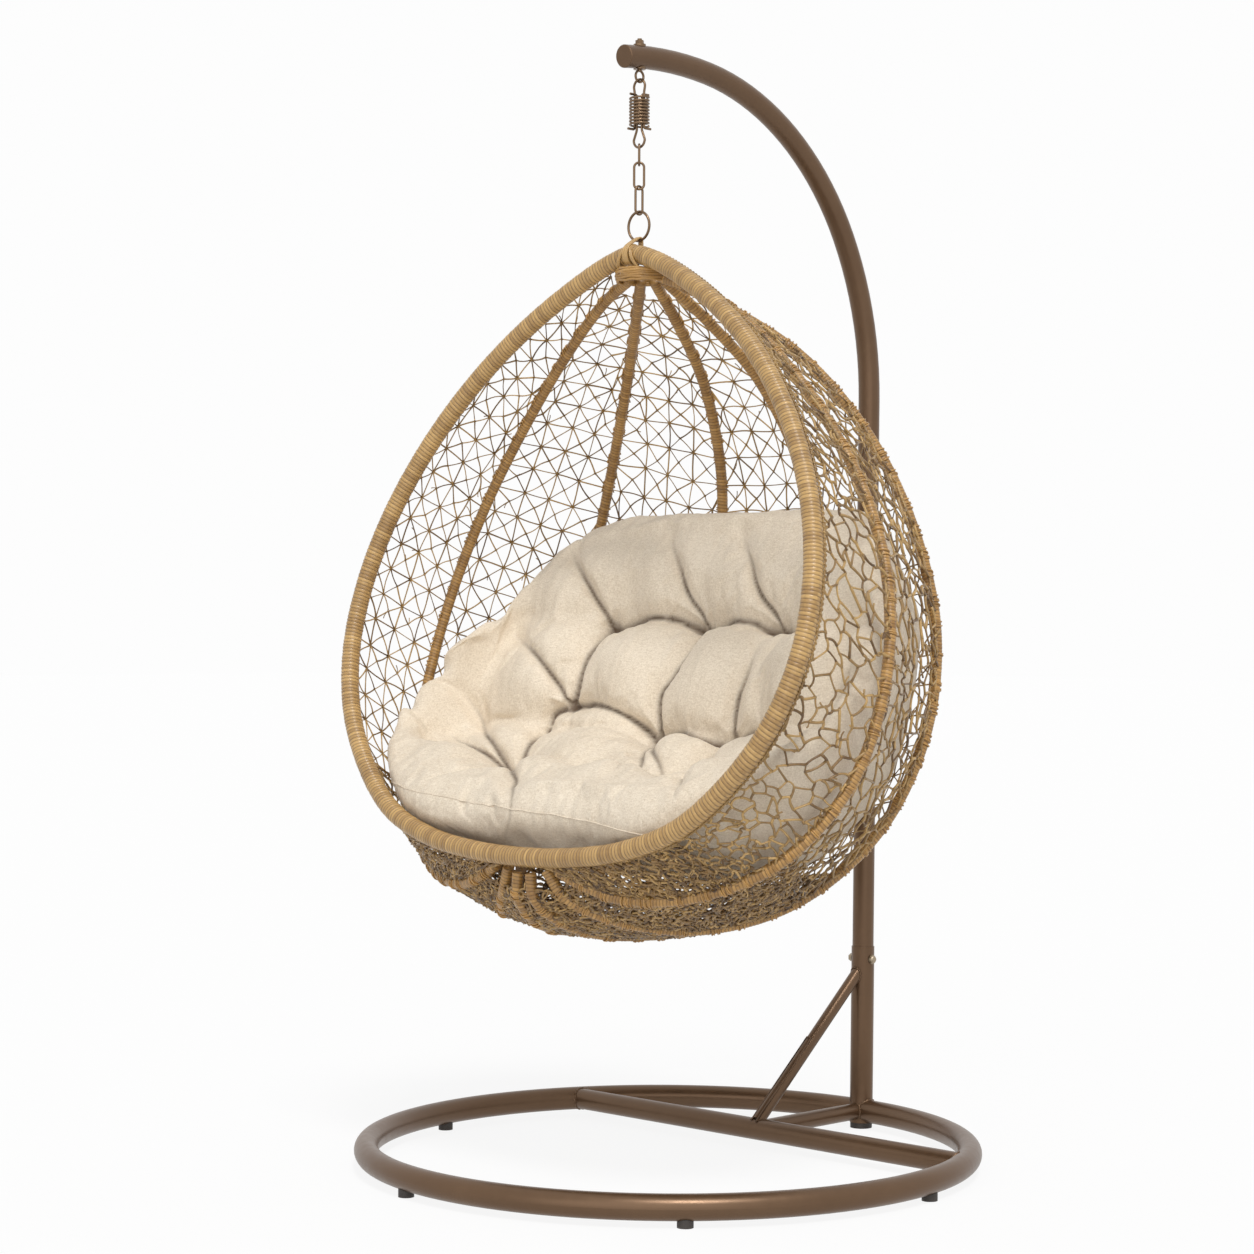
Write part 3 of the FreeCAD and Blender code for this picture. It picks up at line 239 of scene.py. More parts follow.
def noise(tree, vector, scale, detail=3.0, roughness=0.55):
    """Noise over a vector socket."""
    made = node(tree, "ShaderNodeTexNoise",
                {"Scale": scale, "Detail": detail, "Roughness": roughness})
    tree.links.new(vector, made.inputs["Vector"])
    return made.outputs["Fac"]


def new_material(name):
    """A material with an empty tree, its Principled shader and object coordinates."""
    made = bpy.data.materials.new(name)
    made.use_nodes = True
    tree = made.node_tree
    tree.nodes.clear()
    out = tree.nodes.new("ShaderNodeOutputMaterial")
    shader = tree.nodes.new("ShaderNodeBsdfPrincipled")
    tree.links.new(shader.outputs[0], out.inputs[0])
    where = tree.nodes.new("ShaderNodeTexCoord").outputs["Object"]
    return made, tree, shader, where


COLOR = "NodeSocketColor"
NUMBER = "NodeSocketFloat"
POINT = "NodeSocketVector"

# %% [markdown]
# Cane is a plastic strip extruded to look like split rattan: honey on its crown, with painted
# shade in its gaps, and a little different from one winding to the next. The windings carry two
# marks on their points: how deep in a gap a point lies, which sets how much painted shade it gets,
# and the tone of its winding.

# %% Group: cane tone
# The gap colour is painted shade: it darkens the hollows between windings, and the knots a little
group, start, end = new_group(
    "Cane tone",
    (
        ("Where", POINT, (0, 0, 0)),
        ("Light", COLOR, (0.5, 0.3, 0.13, 1)),
        ("Dark", COLOR, (0.2, 0.1, 0.04, 1)),
        ("Painted gap shade", COLOR, (0.05, 0.022, 0.008, 1)),
        ("Gap", NUMBER, 0.0),
        ("Tone", NUMBER, 0.5),
        ("Mottle", NUMBER, 0.4),
    ),
    (("Color", COLOR), ("Roughness", NUMBER), ("Height", NUMBER)),
)
tree = group
broad = noise(tree, start.outputs["Where"], 9.0, 4.0)
fine = noise(tree, start.outputs["Where"], 260.0, 3.0)
fibre = noise(tree, start.outputs["Where"], 900.0, 2.0)
mottle = maths(tree, "MULTIPLY", maths(tree, "SUBTRACT", broad, 0.5), start.outputs["Mottle"])
grain = maths(tree, "MULTIPLY", maths(tree, "SUBTRACT", fine, 0.5), 0.7)
level = maths(tree, "ADD", start.outputs["Tone"], mottle)
level = maths(tree, "ADD", level, grain)
limited = node(tree, "ShaderNodeClamp")
tree.links.new(level, limited.inputs["Value"])
colour = mixed(tree, limited.outputs[0], start.outputs["Dark"], start.outputs["Light"])
# Painted shade: the gap mark mixes in the gap colour, darker the deeper a point lies between
# windings
colour = mixed(tree, start.outputs["Gap"], colour, start.outputs["Painted gap shade"])
tree.links.new(colour, end.inputs["Color"])
rough = maths(tree, "MULTIPLY_ADD", fine, 0.18, 0.34)
rough = maths(tree, "ADD", rough, maths(tree, "MULTIPLY", start.outputs["Gap"], 0.3))
tree.links.new(rough, end.inputs["Roughness"])
tree.links.new(maths(tree, "ADD", fine, fibre), end.inputs["Height"])
CANE_TONE = group
print("group", group.name)


# %% Cane and strand materials
def cane_material(name, light, dark, gap, mottle, bump, coat):
    """Cane for windings or strands, from the shared group."""
    made, tree, shader, where = new_material(name)
    tone = node(tree, "ShaderNodeGroup", node_tree=CANE_TONE)
    tone.inputs["Light"].default_value = light
    tone.inputs["Dark"].default_value = dark
    # The gap colour is painted shade for the hollows between windings
    tone.inputs["Painted gap shade"].default_value = gap
    tone.inputs["Mottle"].default_value = mottle
    tree.links.new(where, tone.inputs["Where"])
    for mark, socket in (("gap", "Gap"), ("tone", "Tone")):
        read = node(tree, "ShaderNodeAttribute", attribute_name=mark)
        tree.links.new(read.outputs["Fac"], tone.inputs[socket])
    raise_by = node(tree, "ShaderNodeBump", {"Strength": bump, "Distance": 0.0006})
    tree.links.new(tone.outputs["Height"], raise_by.inputs["Height"])
    tree.links.new(tone.outputs["Color"], shader.inputs["Base Color"])
    tree.links.new(tone.outputs["Roughness"], shader.inputs["Roughness"])
    tree.links.new(raise_by.outputs[0], shader.inputs["Normal"])
    shader.inputs["Coat Weight"].default_value = coat
    shader.inputs["Coat Roughness"].default_value = 0.28
    return made


# Painted shade for the hollows between windings and round the knots
GAP_SHADE = (0.05, 0.022, 0.007, 1)
HOOP_CANE = cane_material("hoop_cane", (0.60, 0.375, 0.135, 1), (0.30, 0.165, 0.048, 1), GAP_SHADE, 0.5,
                          0.35, 0.4)
POLE_CANE = cane_material("pole_cane", (0.53, 0.30, 0.09, 1), (0.25, 0.125, 0.030, 1), GAP_SHADE, 0.6,
                          0.35, 0.25)
STRAND_CANE = cane_material("strand_cane", (0.52, 0.33, 0.12, 1), (0.12, 0.06, 0.016, 1), GAP_SHADE, 0.9,
                            0.3, 0.2)
# A darker copy of the strand cane, its darkness painted shade for the underside
SHADED_UNDER_CANE = cane_material("under_cane_painted_shade", (0.33, 0.19, 0.062, 1), (0.07, 0.034, 0.010, 1), GAP_SHADE, 0.9,
                            0.3, 0.2)
print("cane materials ready")

# %% [markdown]
# The stand is steel tube with a dark bronze powder coat: satin, very slightly orange-peeled,
# a little browner where light catches it. The small hanging hardware has the same coat,
# rubbed a little brighter.

# %% Group: satin coat
group, start, end = new_group(
    "Satin coat",
    (
        ("Where", POINT, (0, 0, 0)),
        ("Base", COLOR, (0.1, 0.06, 0.04, 1)),
        ("Rubbed", COLOR, (0.2, 0.13, 0.09, 1)),
        ("Rub", NUMBER, 0.3),
        ("Gloss", NUMBER, 0.35),
    ),
    (("Color", COLOR), ("Roughness", NUMBER), ("Height", NUMBER)),
)
tree = group
cloud = noise(tree, start.outputs["Where"], 7.0, 4.0)
peel = noise(tree, start.outputs["Where"], 420.0, 2.0)
speck = noise(tree, start.outputs["Where"], 60.0, 4.0)
amount = maths(tree, "MULTIPLY", maths(tree, "ADD", cloud, maths(tree, "MULTIPLY", speck, 0.5)),
               start.outputs["Rub"])
tree.links.new(mixed(tree, amount, start.outputs["Base"], start.outputs["Rubbed"]),
               end.inputs["Color"])
tree.links.new(maths(tree, "MULTIPLY_ADD", speck, 0.16, start.outputs["Gloss"]),
               end.inputs["Roughness"])
tree.links.new(peel, end.inputs["Height"])
SATIN_COAT = group
print("group", group.name)


# %% Metal and plastic materials
def coated(name, base, rubbed, rub, gloss, metallic, bump=0.08):
    """A coated or plain metal, or a moulded plastic, from the shared group."""
    made, tree, shader, where = new_material(name)
    coat = node(tree, "ShaderNodeGroup", node_tree=SATIN_COAT)
    coat.inputs["Base"].default_value = base
    coat.inputs["Rubbed"].default_value = rubbed
    coat.inputs["Rub"].default_value = rub
    coat.inputs["Gloss"].default_value = gloss
    tree.links.new(where, coat.inputs["Where"])
    raise_by = node(tree, "ShaderNodeBump", {"Strength": bump, "Distance": 0.0004})
    tree.links.new(coat.outputs["Height"], raise_by.inputs["Height"])
    tree.links.new(coat.outputs["Color"], shader.inputs["Base Color"])
    tree.links.new(coat.outputs["Roughness"], shader.inputs["Roughness"])
    tree.links.new(raise_by.outputs[0], shader.inputs["Normal"])
    shader.inputs["Metallic"].default_value = metallic
    return made


STAND_PAINT = coated("stand_paint", (0.105, 0.058, 0.030, 1), (0.20, 0.12, 0.066, 1), 0.4, 0.26,
                     0.6)
HARDWARE = coated("hanging_hardware", (0.13, 0.08, 0.045, 1), (0.30, 0.20, 0.12, 1), 0.5, 0.24,
                  0.8)
ZINC = coated("worn_zinc", (0.30, 0.24, 0.17, 1), (0.50, 0.42, 0.31, 1), 0.5, 0.3, 0.9)
DARK_PLASTIC = coated("glide_plastic", (0.03, 0.024, 0.02, 1), (0.055, 0.046, 0.04, 1), 0.5, 0.5,
                      0.0, 0.2)

METAL_OF = {
    "base_ring": STAND_PAINT, "crossbar": STAND_PAINT, "foot_strut": STAND_PAINT,
    "brace": STAND_PAINT, "post": STAND_PAINT, "arm": STAND_PAINT,
    "arm_end_cap": STAND_PAINT, "joint_bolt": ZINC, "joint_washers": ZINC,
    "joint_nut": ZINC, "foot_glides": DARK_PLASTIC, "post_glide": DARK_PLASTIC,
    "eye_bolt": HARDWARE, "eye_washers": HARDWARE, "eye_nut": HARDWARE,
    "spring_upper_drawbar": HARDWARE, "spring_coil": HARDWARE,
    "spring_lower_drawbar": HARDWARE, "chain_link_a": HARDWARE,
    "chain_link_b": HARDWARE, "chain_link_c": HARDWARE, "hanging_ring": HARDWARE,
}
for label, finish in METAL_OF.items():
    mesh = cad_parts[label].data
    mesh.materials.clear()
    mesh.materials.append(finish)
print(len(METAL_OF), "frame nodes have their finish")

# %% [markdown]
# The stand's tubes are welded together. A bead is a small rippled ring that lies where one
# tube's skin meets the other's. For each direction round the first tube, its point is found
# by walking along the tube until the other tube is reached.

# %% Weld beads
RING_CIRCLE = 0.515
TUBE_HEIGHT = 0.031
RING_TUBE = 0.021
BAR_BACK = 0.231
BAR_TUBE = 0.019
STRUT_TUBE = 0.015
BRACE_TUBE = 0.011
BRACE_LOW = np.array((0.0, BAR_BACK, TUBE_HEIGHT + 0.014))
BRACE_HIGH = np.array((0.0, 0.5165, 0.300))
POST_FOOT = np.array((0.0, 0.5165, TUBE_HEIGHT))


def to_ring(points):
    """How far points are from the base ring's skin."""
    from_middle = np.linalg.norm(points[..., :2], axis=-1)
    return np.hypot(from_middle - RING_CIRCLE, points[..., 2] - TUBE_HEIGHT) - RING_TUBE


def to_bar(points):
    """How far points are from the crossbar's skin."""
    return np.hypot(points[..., 1] - BAR_BACK, points[..., 2] - TUBE_HEIGHT) - BAR_TUBE


def to_post(points):
    """How far points are from the post's skin."""
    return np.hypot(points[..., 0], points[..., 1] - POST_FOOT[1]) - RING_TUBE


def bead_line(start, towards, radius, reach, gap):
    """The closed line where a tube's skin meets another tube."""
    heading = unit(np.asarray(towards, float))
    first = unit(np.cross(heading, UP + 0.01))
    second = np.cross(heading, first)
    turns = np.linspace(0, 2 * math.pi, 72, endpoint=False)
    skin = start + (first * np.cos(turns)[:, None] + second * np.sin(turns)[:, None]) * radius
    steps = np.linspace(0, reach, 600)
    walk = skin[:, None, :] + heading * steps[None, :, None]
    met = np.argmax(gap(walk) < 0.0004, axis=1)
    return walk[np.arange(len(turns)), met]


def weld(name, line, size, seed):
    """A rippled bead along a closed line."""
    rng = np.random.default_rng(seed)
    heading, side, other = frames_along(line, True)
    turns = np.linspace(0, 2 * math.pi, 8, endpoint=False)
    ring = side[:, None, :] * np.cos(turns)[None, :, None]
    ring = ring + other[:, None, :] * np.sin(turns)[None, :, None]
    uneven = 0.08 * rng.standard_normal(len(line))
    ripple = size * (1 + 0.22 * np.cos(np.arange(len(line)) * 1.6) + uneven)
    points = (line[:, None, :] + ring * ripple[:, None, None]).reshape(-1, 3)
    made = make_mesh(name, points, tube_faces(len(line), 8, True))
    made.data.materials.append(STAND_PAINT)
    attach(made, "stand")
    return made


BAR_MIDDLE = np.array((0.0, BAR_BACK, TUBE_HEIGHT))
weld("weld_bar_right", bead_line(BAR_MIDDLE, (1, 0, 0), BAR_TUBE, 0.5, to_ring), 0.0021, 1)
weld("weld_bar_left", bead_line(BAR_MIDDLE, (-1, 0, 0), BAR_TUBE, 0.5, to_ring), 0.0021, 2)
strut_back = np.array((0.0, 0.40, TUBE_HEIGHT))
weld("weld_strut_bar", bead_line(strut_back, (0, -1, 0), STRUT_TUBE, 0.2, to_bar), 0.0020, 3)
weld("weld_strut_ring", bead_line(strut_back, (0, 1, 0), STRUT_TUBE, 0.2, to_ring), 0.0020, 4)
post_above = POST_FOOT + UP * 0.2
weld("weld_post", bead_line(post_above, (0, 0, -1), RING_TUBE, 0.2, to_ring), 0.0024, 5)
brace_way = BRACE_HIGH - BRACE_LOW
brace_middle = (BRACE_HIGH + BRACE_LOW) / 2
weld("weld_brace_post", bead_line(brace_middle, brace_way, BRACE_TUBE, 0.25, to_post), 0.0017, 6)
weld("weld_brace_bar", bead_line(brace_middle, -brace_way, BRACE_TUBE, 0.25, to_bar), 0.0017, 7)

# %% [markdown]
# ## The lines of the basket
# The basket is carried by eight lines: two halves of the front hoop and six bent poles.
# They are the same lines as in the CAD model, so what is wound or woven on them lies
# where the frame is.

# %% Hoop and pole lines
APEX = np.array((0.0, -0.095, 1.5514))
HOOP_LEAN = math.radians(14.3)
HOOP_DOWN = np.array((0.0, -math.sin(HOOP_LEAN), -math.cos(HOOP_LEAN)))
HOOP_HALF_WIDTH = 0.533
HOOP_LENGTH = 1.037
HOOP_RADIUS = 0.0155
POLE_RADIUS = 0.0095
HOOP_PLACES = (
    (0.090, 0.011), (0.208, 0.039), (0.395, 0.097), (0.567, 0.167), (0.721, 0.251),
    (0.844, 0.342), (0.940, 0.445), (0.994, 0.555), (0.996, 0.666), (0.933, 0.773),
    (0.808, 0.865), (0.639, 0.939), (0.435, 0.978), (0.220, 0.995),
)
POLES = {
    "side": ((0.036, -0.066, 1.514), (0.126, -0.042, 1.480), (0.242, -0.024, 1.392),
             (0.357, -0.016, 1.270), (0.450, -0.020, 1.137), (0.514, -0.038, 0.991),
             (0.539, -0.074, 0.833), (0.516, -0.127, 0.678), (0.433, -0.192, 0.558),
             (0.312, -0.255, 0.497), (0.192, -0.302, 0.487), (0.116, -0.325, 0.508),
             (0.075, -0.335, 0.526)),
    "flank": ((0.0291, -0.0448, 1.514), (0.107, 0.024, 1.464), (0.207, 0.106, 1.378),
              (0.302, 0.168, 1.244), (0.377, 0.198, 1.081), (0.424, 0.197, 0.910),
              (0.434, 0.155, 0.740), (0.403, 0.072, 0.585), (0.328, -0.044, 0.474),
              (0.230, -0.164, 0.432), (0.131, -0.266, 0.448), (0.072, -0.318, 0.485),
              (0.045, -0.333, 0.526)),
    "rear": ((0.0111, -0.0318, 1.514), (0.036, 0.055, 1.447), (0.066, 0.155, 1.348),
             (0.095, 0.230, 1.198), (0.111, 0.246, 1.027), (0.121, 0.233, 0.860),
             (0.125, 0.198, 0.691), (0.121, 0.131, 0.536), (0.101, 0.007, 0.427),
             (0.068, -0.142, 0.408), (0.037, -0.270, 0.430), (0.019, -0.335, 0.479),
             (0.015, -0.340, 0.520)),
}


def hoop_point(out, down):
    """A point of the hoop, from its shares of the half width and of the length."""
    return APEX + HOOP_DOWN * (HOOP_LENGTH * down) + np.array((HOOP_HALF_WIDTH * out, 0, 0))


half_hoop = [hoop_point(out, down) for out, down in HOOP_PLACES]
hoop_bottom = hoop_point(0, 1)
mirror = np.array((-1.0, 1.0, 1.0))
hoop_corners = [APEX] + half_hoop + [hoop_bottom] + [p * mirror for p in reversed(half_hoop)]
pole_lines = {}
for label, corners in POLES.items():
    corners = np.array(corners)
    pole_lines[label + "_right"] = corners
    pole_lines[label + "_left"] = corners * mirror
hoop_line = smooth_line(hoop_corners, 0.004, closed=True)
print("hoop", round(len(hoop_line) * 0.004, 3), "m round")

# %% [markdown]
# ## Winding a pole
# A bound pole could be a plain tube with a bump texture, but the windings show on the
# outline and catch the light one by one. So the tube's own surface rises and falls along
# a helix, with each winding a little wider or prouder than the next.


# %% The winding helper
def wound_tube(name, line, radius, pitch, rise, seed, sides=24, steps=6, closed=False):
    """A pole bound with cane: a tube whose surface is one long helical ridge."""
    rng = np.random.default_rng(seed)
    line = smooth_line(line, pitch / steps, closed=closed)
    heading, side, other = frames_along(line, closed)
    rings = len(line)
    turns = rings // steps
    width = 1 + 0.22 * (rng.random(turns + 3) - 0.5)
    edges = np.concatenate(((0,), np.cumsum(width)))
    edges = edges / edges[turns] * turns
    phase = np.interp(np.linspace(0, turns, rings, endpoint=not closed), edges,
                      np.arange(len(edges)))
    around = np.arange(sides) / sides
    whole = phase[:, None] + around[None, :]
    part = whole % 1
    crown = 1 - np.abs(2 * part - 1) ** 2.6
    number = np.floor(whole).astype(int) % (turns if closed else turns + 5)
    proud = (0.75 + 0.5 * rng.random(turns + 5))[number]
    tone = (0.15 + 0.7 * rng.random(turns + 5))[number]
    reach = radius + rise * (crown * proud - 0.6)
    angle = around * 2 * math.pi
    ring = side[:, None, :] * np.cos(angle)[None, :, None]
    ring = ring + other[:, None, :] * np.sin(angle)[None, :, None]
    points = line[:, None, :] + ring * reach[:, :, None]
    # The gap mark: how deep between windings a point lies, which sets the painted shade there
    gap = np.clip(1 - crown * 1.5, 0, 1)
    return make_mesh(name, points.reshape(-1, 3), tube_faces(rings, sides, closed),
                     gap=gap, tone=tone)


def dress(thing, finish, body, slot, *nodes):
    """Gives a piece its finish and its body, and hides the nodes it stands for; the slot is not
    used.
    """
    thing.data.materials.clear()
    thing.data.materials.append(finish)
    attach(thing, body)
    if nodes:
        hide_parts(*nodes)
    return thing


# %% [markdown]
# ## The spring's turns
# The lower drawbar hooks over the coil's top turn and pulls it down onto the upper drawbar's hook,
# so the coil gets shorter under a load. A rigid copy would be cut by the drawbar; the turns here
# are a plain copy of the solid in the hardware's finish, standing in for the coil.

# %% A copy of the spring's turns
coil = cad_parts["spring_coil"]
turns = bpy.data.objects.new("spring_turns", coil.data.copy())
turns.matrix_world = coil.matrix_world.copy()
bpy.context.scene.collection.objects.link(turns)
turns.data.materials.clear()
turns.data.materials.append(HARDWARE)
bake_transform(turns)
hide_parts("spring_coil")

# %% [markdown]
# ## The front hoop
# The hoop is the thickest pole, bound tightly with round cane about six millimetres wide.

# %% Wind the hoop and the poles
hoop = wound_tube("hoop_binding", hoop_corners, HOOP_RADIUS, 0.0064, 0.0011, 11,
                  sides=28, closed=True)
dress(hoop, HOOP_CANE, "basket", "cane", "front_hoop")
for seed, (label, corners) in enumerate(sorted(pole_lines.items())):
    pole = wound_tube("pole_" + label, corners, POLE_RADIUS, 0.0058, 0.0006, 20 + seed, sides=18)
    dress(pole, POLE_CANE, "basket", "cane", "rib_" + label)

# %% [markdown]
# ## The gathered top
# Under the hanging ring a collar gathers the poles, and a lashing of cane ties the hoop
# to the ring. Both are bands of cane wound round and round.


# %% Many small tubes as one piece
def short_tubes(lines, thick, sides=6):
    """Points and faces of many separate capped tubes, all with as many stations."""
    total, stations = lines.shape[:2]
    heading = unit(np.gradient(lines, axis=1))
    outward = unit(lines - BASKET_MIDDLE)
    side = unit(np.cross(heading, outward) + 1e-9)
    other = np.cross(heading, side)
    angle = np.arange(sides) / sides * 2 * math.pi
    ring = side[:, :, None, :] * np.cos(angle)[None, None, :, None]
    ring = ring + other[:, :, None, :] * np.sin(angle)[None, None, :, None]
    points = (lines[:, :, None, :] + ring * thick[:, :, None, None]).reshape(-1, 3)
    each = stations * sides
    starts = np.arange(total)[:, None, None] * each
    skin = np.array(tube_faces(stations, sides, caps=False))
    faces = (skin[None, :, :] + starts).reshape(-1, 4).tolist()
    ends = np.array((tuple(range(sides - 1, -1, -1)), tuple(range(each - sides, each))))
    faces += (ends[None, :, :] + starts).reshape(-1, sides).tolist()
    return points, faces, each


def strip_piece(name, lines, thick, seed, sides=6, tones=(0.2, 0.9)):
    """Short strips of cane as one piece, each with its own tone."""
    rng = np.random.default_rng(seed)
    thick = np.broadcast_to(np.asarray(thick, float), lines.shape[:2])
    points, faces, each = short_tubes(lines, thick, sides)
    tone = np.repeat(rng.uniform(*tones, len(lines)), each)
    return make_mesh(name, points, faces, gap=np.zeros(len(points)), tone=tone)


BASKET_MIDDLE = np.array((0.0, -0.05, 0.92))


# %% Collar
def band_turns(name, centres, radius, seed):
    """Several closed strands of cane as one piece."""
    rng = np.random.default_rng(seed)
    points, faces, tones = [], [], []
    sides = 10
    for line in centres:
        line = smooth_line(line, 0.002, closed=True)
        heading, side, other = frames_along(line, True)
        angle = np.arange(sides) / sides * 2 * math.pi
        ring = side[:, None, :] * np.cos(angle)[None, :, None]
        ring = ring + other[:, None, :] * np.sin(angle)[None, :, None]
        first = sum(len(p) for p in points)
        points.append((line[:, None, :] + ring * radius).reshape(-1, 3))
        for face in tube_faces(len(line), sides, True):
            faces.append(tuple(first + k for k in face))
        tones.append(np.full(len(line) * sides, 0.3 + 0.6 * rng.random()))
    points = np.vstack(points)
    tones = np.concatenate(tones)
    return make_mesh(name, points, faces, gap=np.zeros(len(points)), tone=tones)


COLLAR_MIDDLE = np.array((0.0, -0.066, 1.5179))
COLLAR_RADIUS = 0.048
COLLAR_HEIGHT = 0.024
COLLAR_ROWS = 6
rng = np.random.default_rng(5)
loops = []
for row in range(COLLAR_ROWS):
    share = row / (COLLAR_ROWS - 1)
    height = COLLAR_MIDDLE[2] + (share - 0.5) * (COLLAR_HEIGHT - 0.005)
    swell = 0.0016 * math.sin(share * math.pi)
    angles = np.linspace(0, 2 * math.pi, 24, endpoint=False)
    reach = COLLAR_RADIUS - 0.0014 + swell + 0.0005 * rng.standard_normal(24)
    loops.append(np.stack((reach * np.cos(angles), COLLAR_MIDDLE[1] + reach * np.sin(angles),
                           height + 0.0006 * rng.standard_normal(24)), 1))
collar = band_turns("collar_binding", loops, 0.0025, 6)
dress(collar, POLE_CANE, "basket", "cane", "rib_collar")

# %% [markdown]
# The lashing goes over the ring's wire and under the hoop, six turns side by side, and is
# then crossed over the hoop itself. Each turn is the line round two circles of unequal size,
# like a belt on two pulleys, so it is worked out from their radii.

# %% Lashing at the top
RING_WIRE = np.array((0.0, -0.080, 1.5763))
WIRE_RADIUS = 0.0023
LASH_RADIUS = 0.0018
LASH_TURNS = 6
LASH_WIDTH = 0.013


def belt(x, drift):
    """One closed turn round the hoop's top and the ring's wire."""
    low = np.array((x, APEX[1], APEX[2]))
    high = RING_WIRE + np.array((x * 0.8, 0, 0))
    low_reach = HOOP_RADIUS + 0.0007 + LASH_RADIUS + drift
    high_reach = WIRE_RADIUS + LASH_RADIUS + drift
    axis = high - low
    axis[0] = 0
    lean = math.atan2(axis[1], axis[2])
    half = math.acos((low_reach - high_reach) / np.linalg.norm(axis))
    corners = []
    for centre, reach, first, last in ((high, high_reach, -half, half),
                                       (low, low_reach, half, 2 * math.pi - half)):
        for turn in np.linspace(first, last, 9) + lean:
            corners.append(centre + reach * np.array((0, math.sin(turn), math.cos(turn))))
    return np.array(corners)


def slant_loop(x, tilt, reach):
    """A turn round the hoop near its top, leaning along it."""
    angles = np.linspace(0, 2 * math.pi, 20, endpoint=False)
    drop = 0.38 * abs(x)
    return np.stack((x + reach * math.tan(tilt) * np.cos(angles),
                     APEX[1] + reach * np.sin(angles),
                     APEX[2] - drop + reach * np.cos(angles) - 0.38 * reach * math.tan(tilt)
                     * np.cos(angles) * np.sign(x)), 1)


rng = np.random.default_rng(9)
loops = []
for turn in range(LASH_TURNS):
    x = (turn / (LASH_TURNS - 1) - 0.5) * (LASH_WIDTH - 2 * LASH_RADIUS)
    loops.append(belt(x, 0.0009 * rng.random()))
for x, tilt in ((-0.016, 0.5), (-0.0125, 0.45), (0.016, -0.5), (0.0125, -0.45)):
    loops.append(slant_loop(x, tilt, HOOP_RADIUS + 0.0022))
lashing = band_turns("apex_binding", loops, LASH_RADIUS, 8)
dress(lashing, HOOP_CANE, "basket", "cane", "apex_lashing")

# %% [markdown]
# The net is laced to the hoop: a strand lies along the hoop's outer back edge, and a second
# one spirals round it and holds it down.

# %% Lacing along the hoop
LACE_PITCH = 0.0085
LACE_STEPS = 10
lace_line = smooth_line(hoop_corners, LACE_PITCH / LACE_STEPS, closed=True)
heading, _, _ = frames_along(lace_line, True)
hoop_back = unit(np.cross(HOOP_DOWN, np.array((1.0, 0, 0))))
hoop_back = hoop_back * np.sign(hoop_back[1])
outer = unit(np.cross(heading, hoop_back))
outer = outer * np.sign(np.sum(outer * (lace_line - hoop_point(0, 0.58)), axis=1))[:, None]
lace_line = lace_line + (outer * 0.74 + hoop_back * 0.67) * (HOOP_RADIUS + 0.0022)
edge_strand = band_turns("hoop_edge_strand", [lace_line[::LACE_STEPS // 2]], 0.0017, 12)
dress(edge_strand, STRAND_CANE, "basket", "weave")
turn = np.arange(len(lace_line)) / LACE_STEPS * 2 * math.pi
spiral = lace_line + (outer * np.cos(turn)[:, None] + hoop_back * np.sin(turn)[:, None]) * 0.0027
count = len(spiral) // LACE_STEPS
spans = np.array([np.take(spiral, np.arange(k * LACE_STEPS, (k + 1) * LACE_STEPS + 2), axis=0,
                          mode="wrap") for k in range(count)])
lacing = strip_piece("hoop_lacing", spans[:, ::2], 0.0011, 13, sides=5, tones=(0.3, 0.9))
dress(lacing, STRAND_CANE, "basket", "weave")

# %% [markdown]
# ## The woven net
# The net is knotted from single strands stretched between the poles. On the back it is a
# square grid with both diagonals, so that eight strands meet in each star. At the sides
# the maker worked freely, and the meshes are uneven. Each panel between two poles is laid
# out flat, as rows of knots, and then wrapped onto the surface between the poles.

# %% The surface between the poles
SAMPLES = 400


def evenly(corners):
    """A line as a fixed number of evenly spaced points, top first."""
    line = smooth_line(corners, 0.002)
    picks = np.linspace(0, len(line) - 1, SAMPLES + 1)
    return np.stack([np.interp(picks, np.arange(len(line)), line[:, k]) for k in range(3)], 1)


hoop_right = evenly([APEX] + half_hoop + [hoop_bottom])
ribs = [hoop_right]
for label in ("side_right", "flank_right", "rear_right", "rear_left", "flank_left", "side_left"):
    ribs.append(evenly(pole_lines[label]))
ribs.append(hoop_right * mirror)
ribs = np.array(ribs)
OUTWARD = 0.004


def on_net(panel, share, down):
    """Points and outward directions on a panel, from shares across it and down it."""
    place = np.clip(down, 0, 1) * SAMPLES
    low = np.minimum(place.astype(int), SAMPLES - 1)
    rest = (place - low)[:, None]
    left = ribs[panel][low] * (1 - rest) + ribs[panel][low + 1] * rest
    right = ribs[panel + 1][low] * (1 - rest) + ribs[panel + 1][low + 1] * rest
    across = right - left
    travel = ribs[panel][low + 1] - ribs[panel][low]
    travel = travel + ribs[panel + 1][low + 1] - ribs[panel + 1][low]
    out = unit(np.cross(across, travel))
    middle = left + across * share[:, None]
    out = out * np.sign(np.sum(out * (middle - BASKET_MIDDLE), axis=1))[:, None]
    belly = 0.012 * np.linalg.norm(across, axis=1) * 4 * share * (1 - share)
    return middle + out * (OUTWARD + belly)[:, None], out, np.linalg.norm(across, axis=1)


half_across, half_down = np.array([0.5]), np.array([0.45])
panel_widths = [float(on_net(k, half_across, half_down)[2][0]) for k in range(7)]
print("panel widths near half way down", [round(width, 3) for width in panel_widths])


# %% [markdown]
# At the back and on the left the net is a square grid with a knot in the middle of every
# cell, tied to its four corners, so that the strands meet in stars. Columns that would leave the
# panel are tied to the pole instead.

# %% The star grid
LENGTH = 1.75


def width_at(panel, down):
    """How wide a panel is, at one share of its length."""
    return float(on_net(panel, np.array([0.5]), np.array([down]))[2][0])


